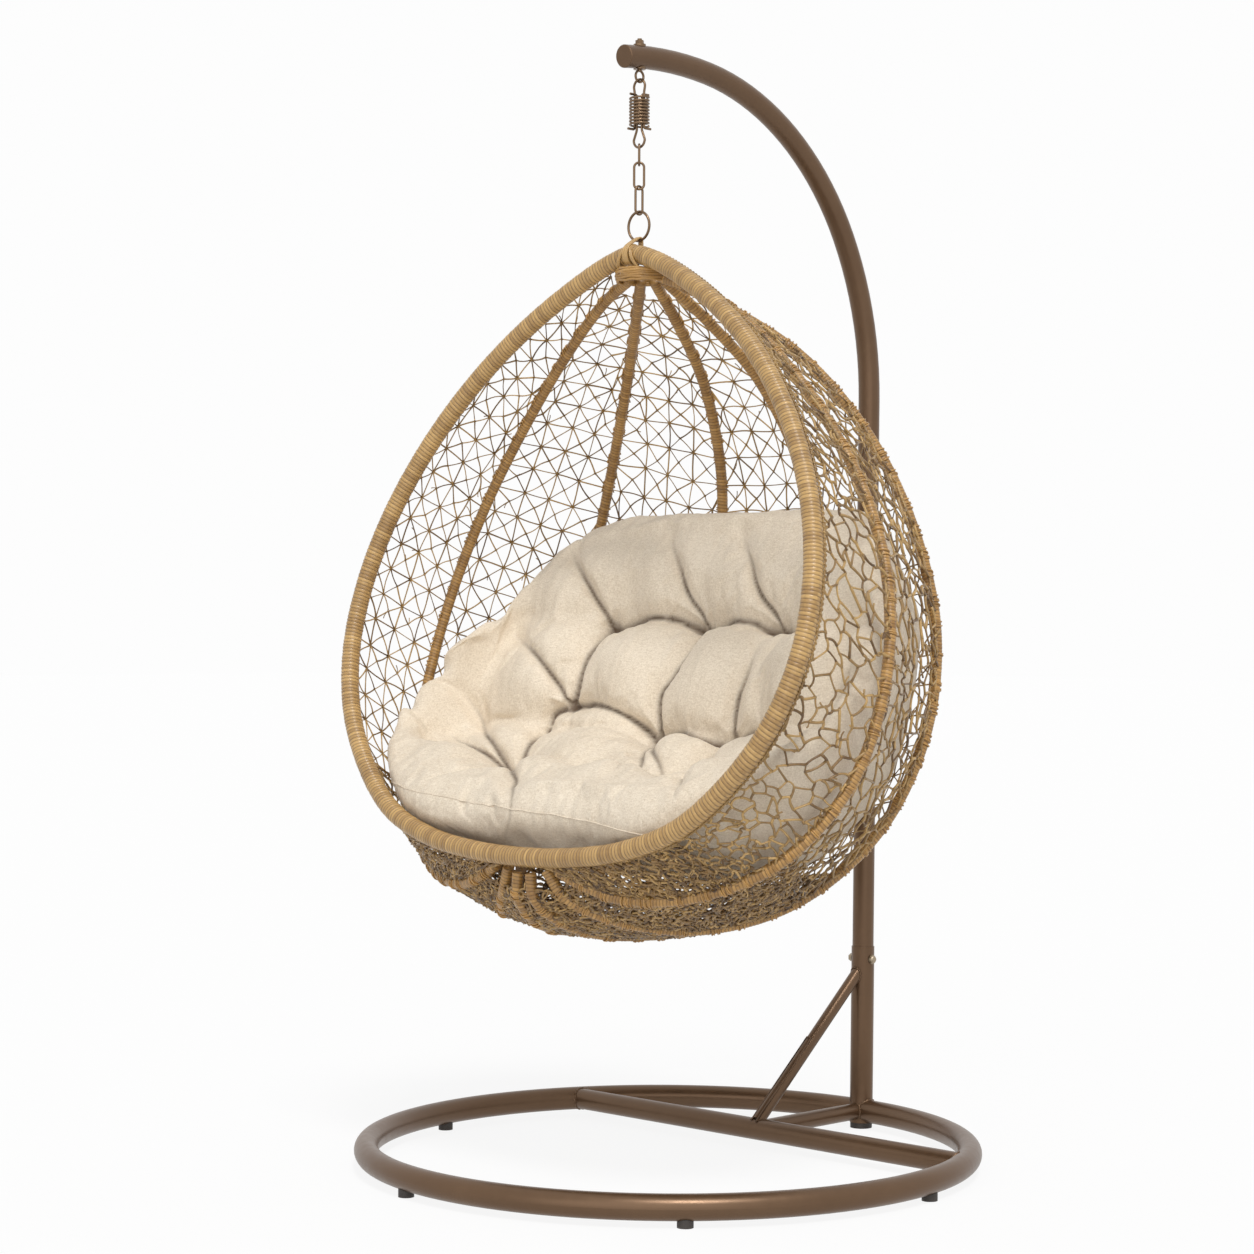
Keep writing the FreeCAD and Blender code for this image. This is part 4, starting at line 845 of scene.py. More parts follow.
def star_layout(panel, cell, rng, first, last):
    """Rows of knots with a knot in every cell between them."""
    knots, joins, rows = [], [], []

    def knot(x, down, width, shake):
        """Adds one knot and gives its number."""
        share = x / width + 0.5
        if 0 < share < 1:
            share += shake * rng.standard_normal() / width
        knots.append((min(1.0, max(0.0, share)), down + shake * rng.standard_normal() / LENGTH,
                      width))
        return len(knots) - 1

    steps = int((last - first) * LENGTH / cell)
    for row in range(steps + 1):
        down = first + (last - first) * row / steps
        width = width_at(panel, down)
        reach = max(0, int((width / 2 - 0.35 * cell) / cell))
        here = {k: knot(k * cell, down, width, 0.0018) for k in range(-reach, reach + 1)}
        ends = (knot(-width / 2, down, width, 0), knot(width / 2, down, width, 0))
        order = [ends[0]] + [here[k] for k in sorted(here)] + [ends[1]]
        joins += list(zip(order, order[1:]))
        rows.append((here, ends, down, width))
    for (upper, upper_ends, high, _), (lower, lower_ends, low, width) in zip(rows, rows[1:]):
        reach = max(max(upper), max(lower))
        for k in range(-reach, reach + 1):
            side = 0 if k < 0 else 1
            joins.append((upper.get(k, upper_ends[side]), lower.get(k, lower_ends[side])))
        for k in range(-reach - 1, reach + 1):
            corners = []
            for row, ends in ((upper, upper_ends), (lower, lower_ends)):
                for column in (k, k + 1):
                    corners.append(row.get(column, ends[0 if column < 0 else 1]))
            if len(set(corners)) < 3:
                continue
            x = np.mean([(knots[c][0] - 0.5) * knots[c][2] for c in corners])
            middle = knot(x, (high + low) / 2, width, 0.0022)
            joins += [(middle, c) for c in set(corners)]
    return knots, joins


# %% [markdown]
# Outside, at the right and under the seat, the openings are uneven and many-sided. Such a
# pattern comes from scattered points: they are joined into triangles, and each strand
# then runs from the middle of one triangle to the middle of the next.


# %% The many-sided net
def cell_layout(panel, cell, rng, first, last):
    """Uneven openings with five to seven sides, smaller and flatter under the seat."""
    flat, edge_side = [], []
    down, row = first, 0
    while down < last:
        width = width_at(panel, down)
        low = min(1.0, max(0.0, (down - 0.66) / 0.12))
        tight = cell * (1 - 0.42 * low)
        rise = tight * (0.86 - 0.34 * low)
        count = max(1, int(round(width / tight)))
        for i in range(count + 1 + row % 2):
            share = (i - (0.5 if row % 2 else 0)) / count
            side = -1 if share <= 0 else 1 if share >= 1 else 0
            share = min(1.0, max(0.0, share))
            x = (share - 0.5) * width
            if side == 0:
                x += 0.36 * tight * rng.standard_normal()
                x = min(0.5, max(-0.5, x / width)) * width
            flat.append(Vector((x, down * LENGTH + 0.34 * rise * rng.standard_normal())))
            edge_side.append(side)
        down += rise / LENGTH
        row += 1
    spots, _, faces = geometry.delaunay_2d_cdt(flat, [], [], 0, 1e-5, False)[:3]
    knots, joins, open_edges = [], [], {}

    def knot(x, y, side=0):
        """Adds one knot and gives its number."""
        at = min(last, max(first, y / LENGTH))
        width = width_at(panel, at)
        share = 0.5 + side * 0.5 if side else x / width + 0.5
        knots.append((min(1.0, max(0.0, share)), at, width))
        return len(knots) - 1

    for face in faces:
        pull = rng.dirichlet((2.2, 2.2, 2.2))
        middle = sum((spots[k] * float(w) for k, w in zip(face, pull)), Vector((0, 0)))
        number = knot(middle.x, middle.y)
        for a, b in zip(face, face[1:] + face[:1]):
            pair = (min(a, b), max(a, b))
            if pair in open_edges:
                joins.append((open_edges.pop(pair), number))
            else:
                open_edges[pair] = number
    for (a, b), number in open_edges.items():
        if max(a, b) >= len(edge_side):
            continue
        side = edge_side[a]
        if side and side == edge_side[b]:
            middle = (spots[a] + spots[b]) / 2
            joins.append((number, knot(middle.x, middle.y, side)))
    return knots, joins


# %% Strands from a layout
def ball():
    """A small round lump as points and triangles."""
    made = bmesh.new()
    bmesh.ops.create_icosphere(made, subdivisions=1, radius=1.0)
    points = np.array([v.co for v in made.verts])
    faces = np.array([[v.index for v in f.verts] for f in made.faces])
    made.free()
    return points, faces


def strand_mesh(name, panel, knots, joins, radius, sway, lump, stray, rng):
    """Strands along the joins, a lump at each knot and a few loose ends."""
    joins = np.array(joins)
    count = len(joins)
    span = np.linspace(0, 1, 5)
    a, b = knots[joins[:, 0]], knots[joins[:, 1]]
    # A strand's middle wanders a little in the panel, and over or under its neighbours
    middle = (a + b) / 2
    width = np.maximum(middle[:, 2], 0.03)
    middle_share = middle[:, 0] + sway * rng.standard_normal(count) / width
    middle_down = middle[:, 1] + sway * rng.standard_normal(count) / LENGTH
    lift = 0.0014 * rng.standard_normal(count)
    lines = []
    for t in span:
        near, bow, far = (1 - t) ** 2, 2 * t * (1 - t), t ** 2
        share = near * a[:, 0] + bow * middle_share + far * b[:, 0]
        down = near * a[:, 1] + bow * middle_down + far * b[:, 1]
        spot, out, _ = on_net(panel, share, down)
        lines.append(spot + out * (lift * 4 * t * (1 - t))[:, None])
    lines = np.stack(lines, 1)
    thick = radius * (0.75 + 0.5 * rng.random(count))
    # Loose ends stick out of some knots
    loose = knots[rng.random(len(knots)) < stray]
    turn = rng.random(len(loose)) * 2 * math.pi
    reach = 0.007 + 0.010 * rng.random(len(loose))
    stubs = []
    for t in span:
        share = loose[:, 0] + reach * t * np.cos(turn + 0.5 * t) / np.maximum(loose[:, 2], 0.03)
        down = loose[:, 1] + reach * t * np.sin(turn + 0.5 * t) / LENGTH
        spot, out, _ = on_net(panel, np.clip(share, 0, 1), down)
        stubs.append(spot + out * 0.004 * t)
    lines = np.concatenate((lines, np.stack(stubs, 1)))
    thick = np.concatenate((thick, np.full(len(loose), radius * 0.7)))
    taper = np.array((1.08, 0.96, 0.9, 0.96, 1.08))
    points, faces, each = short_tubes(lines, thick[:, None] * taper[None, :], 6)
    tone = np.repeat(0.05 + 0.9 * rng.random(len(lines)), each)
    gap = np.zeros(len(points))
    # Lumps where the strands are tied, with a fifth of the cane's painted gap shade
    spot, out, _ = on_net(panel, np.clip(knots[:, 0], 0, 1), knots[:, 1])
    lump_points, lump_faces = ball()
    size = radius * lump * (0.8 + 0.4 * rng.random(len(knots)))
    lumps = spot[:, None, :] + lump_points[None, :, :] * size[:, None, None]
    starts = len(points) + np.arange(len(knots)) * len(lump_points)
    faces += (lump_faces[None, :, :] + starts[:, None, None]).reshape(-1, 3).tolist()
    points = np.vstack((points, lumps.reshape(-1, 3)))
    tone = np.concatenate((tone, np.repeat(0.1 + 0.6 * rng.random(len(knots)), len(lump_points))))
    gap = np.concatenate((gap, np.full(len(knots) * len(lump_points), 0.2)))
    return make_mesh(name, points, faces, gap=gap, tone=tone)


# %% [markdown]
# Under the seat the real net is so close that little light comes through it. One more layer of the
# many-sided net is laid over the first there, in a copy of the cane darkened with painted shade.
# It starts lower down at the sides, where the cushion can still be seen through the net.

# %% Weave the seven panels
STAR_CELL = 0.049
STAR_STRAND = 0.00125
STAR_START = 0.035
CELL = 0.034
CELL_STRAND = 0.0021
CELL_START = 0.02
UNDER = 0.70
UNDER_START = {"side": 0.80, "flank": 0.74}
OVERLAP = 0.006
NET_END = 0.985
# Each panel's name, and whether its upper part is woven in stars
PANELS = (
    ("side_right", False), ("flank_right", False), ("quarter_right", True), ("back", True),
    ("quarter_left", True), ("flank_left", True), ("side_left", True),
)
for number, (label, stars) in enumerate(PANELS):
    rng = np.random.default_rng(100 + number)
    if stars:
        knots, joins = star_layout(number, STAR_CELL, rng, STAR_START, UNDER)
        net = strand_mesh("weave_" + label, number, np.array(knots), joins, STAR_STRAND, 0.0018,
                          1.75, 0.14, rng)
        dress(net, STRAND_CANE, "basket", "weave", "net_" + label)
        start_low = UNDER - OVERLAP
    else:
        start_low = CELL_START
    knots, joins = cell_layout(number, CELL, rng, start_low, NET_END)
    net = strand_mesh("cells_" + label, number, np.array(knots), joins, CELL_STRAND, 0.0032,
                      1.15, 0.12, rng)
    dress(net, STRAND_CANE, "basket", "weave", "net_" + label)
    second_start = UNDER_START.get(label.split("_")[0], UNDER)
    knots, joins = cell_layout(number, CELL, rng, second_start, NET_END)
    net = strand_mesh("under_" + label, number, np.array(knots), joins, CELL_STRAND, 0.0034,
                      1.15, 0.05, rng)
    # The under layer takes the cane darkened with painted shade
    dress(net, SHADED_UNDER_CANE, "basket", "weave", "net_" + label)

# %% [markdown]
# Where the net reaches a pole its strands go over the outside of the pole and back, two or
# three turns at a time. Those ties are half rings, so the inside of the pole stays smooth.

# %% Ties over the poles
TIE_PITCH = 0.046
TIE_STEP = 0.0026
TIE_FIRST = 0.05
TIE_LAST = 0.04
TIE_HALF_TURN = 100
TIE_THICK = 0.0013
tie_lines = []
rng = np.random.default_rng(40)
for number in range(1, len(ribs) - 1):
    rib = ribs[number]
    heading = unit(np.gradient(rib, axis=0))
    out = unit(rib - BASKET_MIDDLE)
    out = unit(out - heading * np.sum(out * heading, axis=1)[:, None])
    side = np.cross(heading, out)
    place = TIE_FIRST
    while place < LENGTH - TIE_LAST:
        for turn in range(rng.integers(2, 5)):
            at = int((place + turn * TIE_STEP) / LENGTH * SAMPLES)
            lean = 0.0012 * rng.standard_normal()
            angles = np.radians(np.linspace(-TIE_HALF_TURN, TIE_HALF_TURN, 9))
            reach = POLE_RADIUS + 0.0010 + 0.0002 * turn
            arc = rib[at] + heading[at] * (turn * TIE_STEP + lean * np.sin(angles)[:, None])
            bend = out[at] * np.cos(angles)[:, None] + side[at] * np.sin(angles)[:, None]
            tie_lines.append(arc + bend * reach)
        place += TIE_PITCH * (0.75 + 0.5 * rng.random())
ties = strip_piece("pole_ties", np.array(tie_lines), TIE_THICK, 41, sides=6, tones=(0.3, 1.0))
dress(ties, POLE_CANE, "basket", "cane")

# %% [markdown]
# ## The cushion
# The cushion is one thick pad, seat and back together. Thread pulled through it at seven
# places makes deep tufts, and the cloth folds along the lines between them. It starts from
# the CAD solid's space: a voxel remesh makes an even skin, the folds are pressed in, and
# then a cloth simulation lets the filling swell against the threads and the net.

# %% The tufts and folds
TUFTS = {
    "upper_left": (-0.211, 0.067, 0.928), "upper_middle": (0.008, 0.074, 0.925),
    "upper_right": (0.195, 0.063, 0.923), "low_left": (-0.221, -0.033, 0.786),
    "low_middle": (0.000, -0.041, 0.736), "low_right": (0.181, -0.044, 0.732),
    "seat_left": (-0.180, -0.200, 0.672),
}
# Each fold runs from a tuft through the points given, with its depth in millimetres
FOLDS = (
    ("upper_left", 20, ((-0.155, 0.073, 0.936), (-0.096, 0.069, 0.940), (-0.050, 0.076, 0.936),
                        (0.008, 0.074, 0.925))),
    ("upper_middle", 20, ((0.064, 0.074, 0.934), (0.125, 0.070, 0.932), (0.195, 0.063, 0.923))),
    ("upper_right", 16, ((0.252, 0.047, 0.926), (0.320, 0.020, 0.935))),
    ("upper_left", 18, ((-0.216, 0.036, 0.903), (-0.216, 0.006, 0.867), (-0.216, -0.018, 0.826),
                        (-0.221, -0.033, 0.786))),
    ("upper_middle", 16, ((0.011, 0.032, 0.888), (0.004, -0.003, 0.840), (-0.009, -0.021, 0.808),
                          (0.000, -0.041, 0.736))),
    ("low_left", 18, ((-0.173, -0.032, 0.789), (-0.106, -0.044, 0.779), (-0.055, -0.042, 0.762),
                      (0.000, -0.041, 0.736))),
    ("low_middle", 16, ((0.050, -0.042, 0.743), (0.120, -0.055, 0.743), (0.181, -0.044, 0.732))),
    ("low_right", 12, ((0.212, -0.040, 0.748), (0.242, -0.042, 0.754), (0.300, -0.050, 0.770))),
    ("low_left", 18, ((-0.255, -0.050, 0.765), (-0.250, -0.090, 0.727), (-0.225, -0.136, 0.697),
                      (-0.180, -0.200, 0.672))),
    ("seat_left", 12, ((-0.251, -0.160, 0.686), (-0.332, -0.146, 0.710), (-0.445, -0.104, 0.719))),
    ("seat_left", 12, ((-0.276, -0.145, 0.706), (-0.380, -0.080, 0.730), (-0.439, -0.034, 0.754),
                       (-0.469, -0.053, 0.794))),
    ("low_left", 10, ((-0.254, -0.030, 0.825), (-0.310, -0.024, 0.869), (-0.430, 0.043, 0.902))),
    ("upper_left", 10, ((-0.244, 0.067, 0.965), (-0.281, 0.073, 1.004), (-0.361, 0.118, 1.063))),
    ("upper_middle", 9, ((-0.041, 0.083, 0.981), (-0.074, 0.097, 1.036), (-0.135, 0.140, 1.099))),
    ("upper_right", 9, ((0.135, 0.074, 0.980), (0.098, 0.095, 1.039), (0.045, 0.141, 1.084))),
    ("low_right", 9, ((0.177, -0.033, 0.786), (0.183, -0.008, 0.843), (0.183, 0.026, 0.890))),
    ("low_middle", 9, ((0.060, -0.100, 0.712), (0.115, -0.151, 0.704), (0.210, -0.240, 0.680))),
    ("low_middle", 9, ((0.040, -0.100, 0.708), (0.074, -0.150, 0.702), (0.124, -0.258, 0.682))),
    ("low_right", 12, ((0.194, -0.126, 0.701), (0.250, -0.220, 0.680), (0.308, -0.303, 0.664))),
    ("seat_left", 8, ((-0.106, -0.269, 0.672), (-0.060, -0.317, 0.650), (-0.051, -0.336, 0.611),
                      (-0.059, -0.331, 0.592), (-0.090, -0.304, 0.569))),
)
print(len(TUFTS), "tufts and", len(FOLDS), "folds")

# %% An even skin over the cushion's space
CUSHION_VOXEL = 0.0065


def mesh_arrays(mesh):
    """A mesh's points and its normals."""
    points, normals = np.zeros(len(mesh.vertices) * 3), np.zeros(len(mesh.vertices) * 3)
    mesh.vertices.foreach_get("co", points)
    mesh.vertices.foreach_get("normal", normals)
    return points.reshape(-1, 3), normals.reshape(-1, 3)


def applied(thing):
    """A new mesh with the object's modifiers applied."""
    return bpy.data.meshes.new_from_object(
        thing.evaluated_get(bpy.context.evaluated_depsgraph_get()))


blank = bpy.data.objects.new("cushion_blank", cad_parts["cushion"].data.copy())
bpy.context.scene.collection.objects.link(blank)
even = blank.modifiers.new("even", "REMESH")
even.mode = "VOXEL"
even.voxel_size = CUSHION_VOXEL
relax = blank.modifiers.new("relax", "SMOOTH")
relax.factor = 0.5
relax.iterations = 30
skin = applied(blank)
bpy.data.objects.remove(blank)
spots, directions = mesh_arrays(skin)
count = len(spots)
print("cushion skin", count, "points")


# %% How near each point is to the net, a tuft or a fold
def nearest(targets, points):
    """For each point, the number of the nearest target and the distance to it."""
    tree = kdtree.KDTree(len(targets))
    for i, target in enumerate(targets):
        tree.insert(target, i)
    tree.balance()
    found = [tree.find(p)[1:] for p in points]
    return np.array([f[0] for f in found]), np.array([f[1] for f in found])


shares, downs = np.meshgrid(np.linspace(0, 1, 16), np.linspace(0.2, 1, 130))
net_spots = np.vstack([on_net(k, shares.ravel(), downs.ravel())[0] for k in range(7)])
tuft_spots = np.array(list(TUFTS.values()))
fold_spots, fold_depth = [], []
for tuft, depth, way in FOLDS:
    line = smooth_line([TUFTS[tuft], *way], 0.003)
    share = np.linspace(0, 1, len(line))
    joined = min(np.linalg.norm(tuft_spots - np.array(way[-1]), axis=1)) < 0.01
    fade = np.ones(len(line)) if joined else np.clip((1 - share) * 1.5, 0, 1)
    sag = 0.72 + 0.28 * np.cos(2 * math.pi * share) if joined else 1
    fold_spots.append(line)
    fold_depth.append(depth / 1000 * fade * sag)
fold_spots = np.vstack(fold_spots)
fold_depth = np.concatenate(fold_depth)

# %% [markdown]
# The pad's rim has to lie where the photograph shows it. A few places along the rim are
# given a shift, and the skin near them follows, less and less with the distance.

# %% Settle the rim
RIM_SHIFTS = (
    ((-0.485, -0.197, 0.746), (0.000, 0.000, 0.000)),
    ((-0.485, -0.133, 0.762), (-0.018, -0.018, 0.014)),
    ((-0.473, -0.120, 0.788), (-0.018, -0.018, 0.014)),
    ((-0.477, -0.074, 0.814), (-0.020, -0.020, 0.014)),
    ((-0.469, -0.084, 0.860), (-0.004, -0.004, 0.000)),
    ((-0.472, -0.093, 0.919), (0.026, 0.026, -0.032)),
    ((-0.473, -0.072, 0.944), (0.032, 0.032, -0.040)),
    ((-0.452, 0.020, 0.987), (0.016, 0.016, -0.020)),
    ((-0.417, 0.090, 1.039), (0.008, 0.008, -0.008)),
    ((-0.318, 0.148, 1.110), (0.000, 0.000, 0.000)),
)
RIM_REACH = 0.058
RIM_BLEND = 0.024


def settled(points):
    """The points with the rim's shifts, the same on both sides."""
    moved = points.copy()
    places = smooth_line([p for p, _ in RIM_SHIFTS], 0.008)
    marks = np.array([p for p, _ in RIM_SHIFTS])
    along = np.array([np.argmin(np.linalg.norm(places - m, axis=1)) for m in marks])
    shifts = np.stack([np.interp(np.arange(len(places)), along,
                                 [v[k] for _, v in RIM_SHIFTS]) for k in range(3)], 1)
    for flip in (np.ones(3), mirror):
        away = np.linalg.norm(points[:, None, :] - (places * flip)[None, :, :], axis=2)
        weight = np.exp(-(away / RIM_BLEND) ** 2) + 1e-12
        shift = weight @ (shifts * flip) / weight.sum(axis=1)[:, None]
        moved += shift * np.exp(-(away.min(axis=1) / RIM_REACH) ** 2)[:, None]
    return moved


spots = settled(spots)
skin.vertices.foreach_set("co", spots.ravel())
skin.update()
directions = mesh_arrays(skin)[1]
_, net_distance = nearest(net_spots, spots)
surface = bvhtree.BVHTree.FromPolygons(spots.tolist(), [tuple(f.vertices) for f in skin.polygons])


def laid_on(points):
    """Each point dropped onto the nearest place of the skin."""
    return np.array([tuple(surface.find_nearest(Vector(p))[0]) for p in points])


fold_spots = laid_on(fold_spots)
tuft_spots = laid_on(tuft_spots)
print("rim settled, folds laid on the skin")


# %% Press the tufts and folds in
BROAD = 0.019
SHARP = 0.0048


def pressed(points, normals, broad, sharp, pit):
    """The points moved inwards at the tufts and along the folds, widely and then sharply."""
    number, distance = nearest(fold_spots, points)
    wide = broad * np.exp(-(distance / BROAD) ** 2)
    narrow = sharp * np.exp(-(distance / SHARP) ** 1.4)
    valley = fold_depth[number] * (wide + narrow)
    tuft, away = nearest(tuft_spots, points)
    well = pit * np.exp(-(away / 0.016) ** 1.5)
    return points - normals * np.maximum(valley, well)[:, None], distance, tuft, away


FIRST_PIT = 0.026
pressed_spots, fold_distance, _, tuft_distance = pressed(spots, directions, 0.95, 0, FIRST_PIT)
skin.vertices.foreach_set("co", pressed_spots.ravel())
cushion = bpy.data.objects.new("cushion_pad", skin)
bpy.context.scene.collection.objects.link(cushion)
print("pressed", int((fold_distance < BROAD).sum()), "points near folds")

# %% Let the filling swell between the threads
PIN_LEVELS = 20
SWELL_FRAMES = 20
SWELL_MOST = 0.013
held = np.clip(1.5 - net_distance / 0.03, 0, 1)
tied = np.exp(-(tuft_distance / 0.014) ** 4)
strength = np.clip(fold_depth[nearest(fold_spots, spots)[0]] / 0.014, 0, 1)
creased = strength * np.exp(-(fold_distance / 0.008) ** 4)
pin = np.clip(np.maximum(np.maximum(held, tied), creased), 0, 1)
pins = cushion.vertex_groups.new(name="pins")
for level in range(1, PIN_LEVELS + 1):
    chosen = np.nonzero(np.round(pin * PIN_LEVELS) == level)[0]
    pins.add(chosen.tolist(), level / PIN_LEVELS, "REPLACE")
cloth = cushion.modifiers.new("cloth", "CLOTH")
settings = cloth.settings
settings.quality = 5
settings.mass = 0.25
settings.tension_stiffness = 12
settings.compression_stiffness = 6
settings.shear_stiffness = 5
settings.bending_stiffness = 0.15
settings.tension_damping = 8
settings.use_pressure = True
settings.uniform_pressure_force = 4
settings.shrink_min = -0.03
settings.vertex_group_mass = "pins"
settings.pin_stiffness = 1
settings.effector_weights.gravity = 0
for number in range(1, SWELL_FRAMES + 1):
    bpy.context.scene.frame_set(number)
swollen = cushion.evaluated_get(bpy.context.evaluated_depsgraph_get()).data
after = mesh_arrays(swollen)[0]
move = after - pressed_spots
bpy.context.scene.frame_set(1)
cushion.modifiers.clear()
size = np.linalg.norm(move, axis=1)
# Near the net the filling has less room to swell, and in a crease it has hardly any
by_net = 0.002 + 0.22 * np.clip(net_distance, 0, 0.05)
cap = np.where(net_distance > 0.05, SWELL_MOST, by_net)
cap = cap * (0.25 + 0.75 * np.clip(fold_distance / 0.03, 0, 1))
move = move * np.minimum(1, cap / np.maximum(size, 1e-9))[:, None]
skin.vertices.foreach_set("co", (pressed_spots + move).ravel())
skin.update()
print("swelled by up to", round(float(size.max()) * 1000, 1), "mm, mean",
      round(float(size.mean()) * 1000, 1))

# %% [markdown]
# The swelling rounds every crease. So the skin is divided once more, the creases are drawn
# in sharply, and the cloth is gathered in small pleats round each tuft.

# %% Creases and gathers on the finer skin
before = skin.attributes.new("before", "FLOAT_VECTOR", "POINT")
before.data.foreach_set("vector", spots.ravel().astype(np.float32))
finer = cushion.modifiers.new("finer", "SUBSURF")
finer.levels = 1
fine = applied(cushion)
cushion.modifiers.clear()
cushion.vertex_groups.clear()
cushion.data = fine
swollen_spots, directions = mesh_arrays(fine)
spots = np.zeros(len(swollen_spots) * 3)
fine.attributes["before"].data.foreach_get("vector", spots)
spots = spots.reshape(-1, 3)
fine.attributes.remove(fine.attributes["before"])
SECOND_PIT = 0.010
creased_spots, fold_distance, tuft_number, tuft_distance = pressed(
    spots, directions, 0.15, 0.6, SECOND_PIT)
creased_spots += swollen_spots - spots
GATHERS = (5, 8, 13)
GATHER_HEIGHT = 0.0032
WANDER_HEIGHT = 0.0022
RUCK_HEIGHT = 0.0019
rng = np.random.default_rng(70)
gathers = np.zeros(len(spots))
for number, tuft in enumerate(tuft_spots):
    near = np.nonzero((tuft_number == number) & (tuft_distance < 0.12))[0]
    if not len(near):
        continue
    facing = unit(directions[near].mean(axis=0))
    first = unit(np.cross(facing, UP))
    second = np.cross(facing, first)
    local = spots[near] - tuft
    turn = np.arctan2(local @ second, local @ first)
    ridge = sum(np.cos(n * turn + rng.uniform(0, 6.28)) / (1 + 0.15 * n) for n in GATHERS)
    away = tuft_distance[near]
    fading = np.exp(-away / 0.034)
    gathers[near] = ridge * GATHER_HEIGHT * fading * (1 - np.exp(-(away / 0.010) ** 2))
quiet = np.clip(fold_distance / 0.010, 0, 1)
wander = np.array([noise_at(Vector(p * 17)) for p in spots])
ruck = np.array([noise_at(Vector((p[0] * 62, p[1] * 18, p[2] * 13))) for p in spots])
relief = gathers * quiet + WANDER_HEIGHT * wander + RUCK_HEIGHT * ruck
creased_spots = creased_spots + directions * relief[:, None]
fine.vertices.foreach_set("co", creased_spots.ravel())
fine.update()
print("fine skin", len(spots), "points, gathers up to",
      round(float(np.abs(gathers).max()) * 1000, 1), "mm")

# %% [markdown]
# A deep crease is dark because no light reaches its floor. On top of that, painted shade in the
# cover's colour darkens it a little more, from a mark on each point that fades with the distance
# to the crease, and the middle of each tuft gets a spot of the same painted shade.

# %% Marks for the painted shade in the creases and tufts
CREASE_SHADE_WIDTH = 0.0032
depth_here = fold_depth[nearest(fold_spots, spots)[0]]
crease_shade_mark = np.exp(-(fold_distance / CREASE_SHADE_WIDTH) ** 1.7) * np.clip(depth_here / 0.008, 0, 1)
# Each tuft's pit gets a spot of painted shade too
crease_shade_mark = np.maximum(crease_shade_mark, np.exp(-(tuft_distance / 0.006) ** 2))
# The gap mark carries this painted shade to the cover's material
layer = fine.attributes.new("gap", "FLOAT", "POINT")
layer.data.foreach_set("value", np.clip(crease_shade_mark, 0, 1).astype(np.float32))
fine.polygons.foreach_set("use_smooth", [True] * len(fine.polygons))

# %% [markdown]
# The cover is a heathered linen: a pale sand colour with darker slubs, matt, with a soft
# sheen at grazing angles. Its threads run in two directions, so the shared group mixes two
# stretched noises, one along each.

# %% Group: linen threads
group, start, end = new_group(
    "Linen threads",
    (
        ("Where", POINT, (0, 0, 0)),
        ("Pale", COLOR, (0.8, 0.7, 0.55, 1)),
        ("Slub", COLOR, (0.6, 0.48, 0.34, 1)),
        ("Painted crease shade", COLOR, (0.12, 0.075, 0.04, 1)),
        ("Fold", NUMBER, 0.0),
        ("Fineness", NUMBER, 1.0),
    ),
    (("Color", COLOR), ("Roughness", NUMBER), ("Height", NUMBER)),
)
tree = group


def threads(stretch):
    """Noise drawn out along one direction."""
    squeeze = node(tree, "ShaderNodeMapping", {"Scale": stretch})
    tree.links.new(start.outputs["Where"], squeeze.inputs["Vector"])
    return noise(tree, squeeze.outputs[0], 1.0, 3.0, 0.6)


level_threads = threads((120, 120, 1500))
upright_threads = threads((1300, 1300, 110))
cloudy = noise(tree, start.outputs["Where"], 14.0, 3.0)
heather = noise(tree, start.outputs["Where"], 330.0, 4.0, 0.75)
both = maths(tree, "ADD", level_threads, upright_threads)
slubs = maths(tree, "MULTIPLY_ADD", both, 1.6, -1.15)
slubs = maths(tree, "ADD", slubs, maths(tree, "MULTIPLY_ADD", heather, 2.2, -1.1))
clouding = maths(tree, "MULTIPLY", maths(tree, "SUBTRACT", cloudy, 0.5), 0.5)
slubs = maths(tree, "ADD", slubs, clouding)
limited = node(tree, "ShaderNodeClamp")
tree.links.new(slubs, limited.inputs["Value"])
colour = mixed(tree, limited.outputs[0], start.outputs["Pale"], start.outputs["Slub"])
# Painted shade: the fold mark mixes in the dark crease colour
colour = mixed(tree, start.outputs["Fold"], colour, start.outputs["Painted crease shade"])
tree.links.new(colour, end.inputs["Color"])
tree.links.new(maths(tree, "MULTIPLY_ADD", both, 0.15, 0.72), end.inputs["Roughness"])
tree.links.new(both, end.inputs["Height"])
LINEN_THREADS = group
print("group", group.name)


# %% Linen material
def linen(name, pale, slub, fold, sheen):
    """A plain-woven cover cloth from the shared group."""
    made, tree, shader, where = new_material(name)
    cloth = node(tree, "ShaderNodeGroup", node_tree=LINEN_THREADS)
    cloth.inputs["Pale"].default_value = pale
    cloth.inputs["Slub"].default_value = slub
    # fold is the colour of the painted shade in the creases and tufts
    cloth.inputs["Painted crease shade"].default_value = fold
    tree.links.new(where, cloth.inputs["Where"])
    # The gap mark lays the painted shade in the creases and tufts
    read = node(tree, "ShaderNodeAttribute", attribute_name="gap")
    tree.links.new(read.outputs["Fac"], cloth.inputs["Fold"])
    raise_by = node(tree, "ShaderNodeBump", {"Strength": 0.35, "Distance": 0.0008})
    tree.links.new(cloth.outputs["Height"], raise_by.inputs["Height"])
    tree.links.new(cloth.outputs["Color"], shader.inputs["Base Color"])
    tree.links.new(cloth.outputs["Roughness"], shader.inputs["Roughness"])
    tree.links.new(raise_by.outputs[0], shader.inputs["Normal"])
    shader.inputs["Sheen Weight"].default_value = sheen
    shader.inputs["Sheen Roughness"].default_value = 0.5
    return made


# The third colour is the painted shade for the creases and tufts
COVER = linen("sand_linen", (0.87, 0.775, 0.635, 1), (0.61, 0.505, 0.375, 1),
              (0.075, 0.038, 0.016, 1), 0.15)
dress(cushion, COVER, "basket", "cushion_cloth", "cushion")
print("cushion dressed")

# %% [markdown]
# One seam shows, along the middle of the front roll. It is a fine welt, laid on the skin:
# each of its points is dropped onto the nearest place of the cushion's surface.

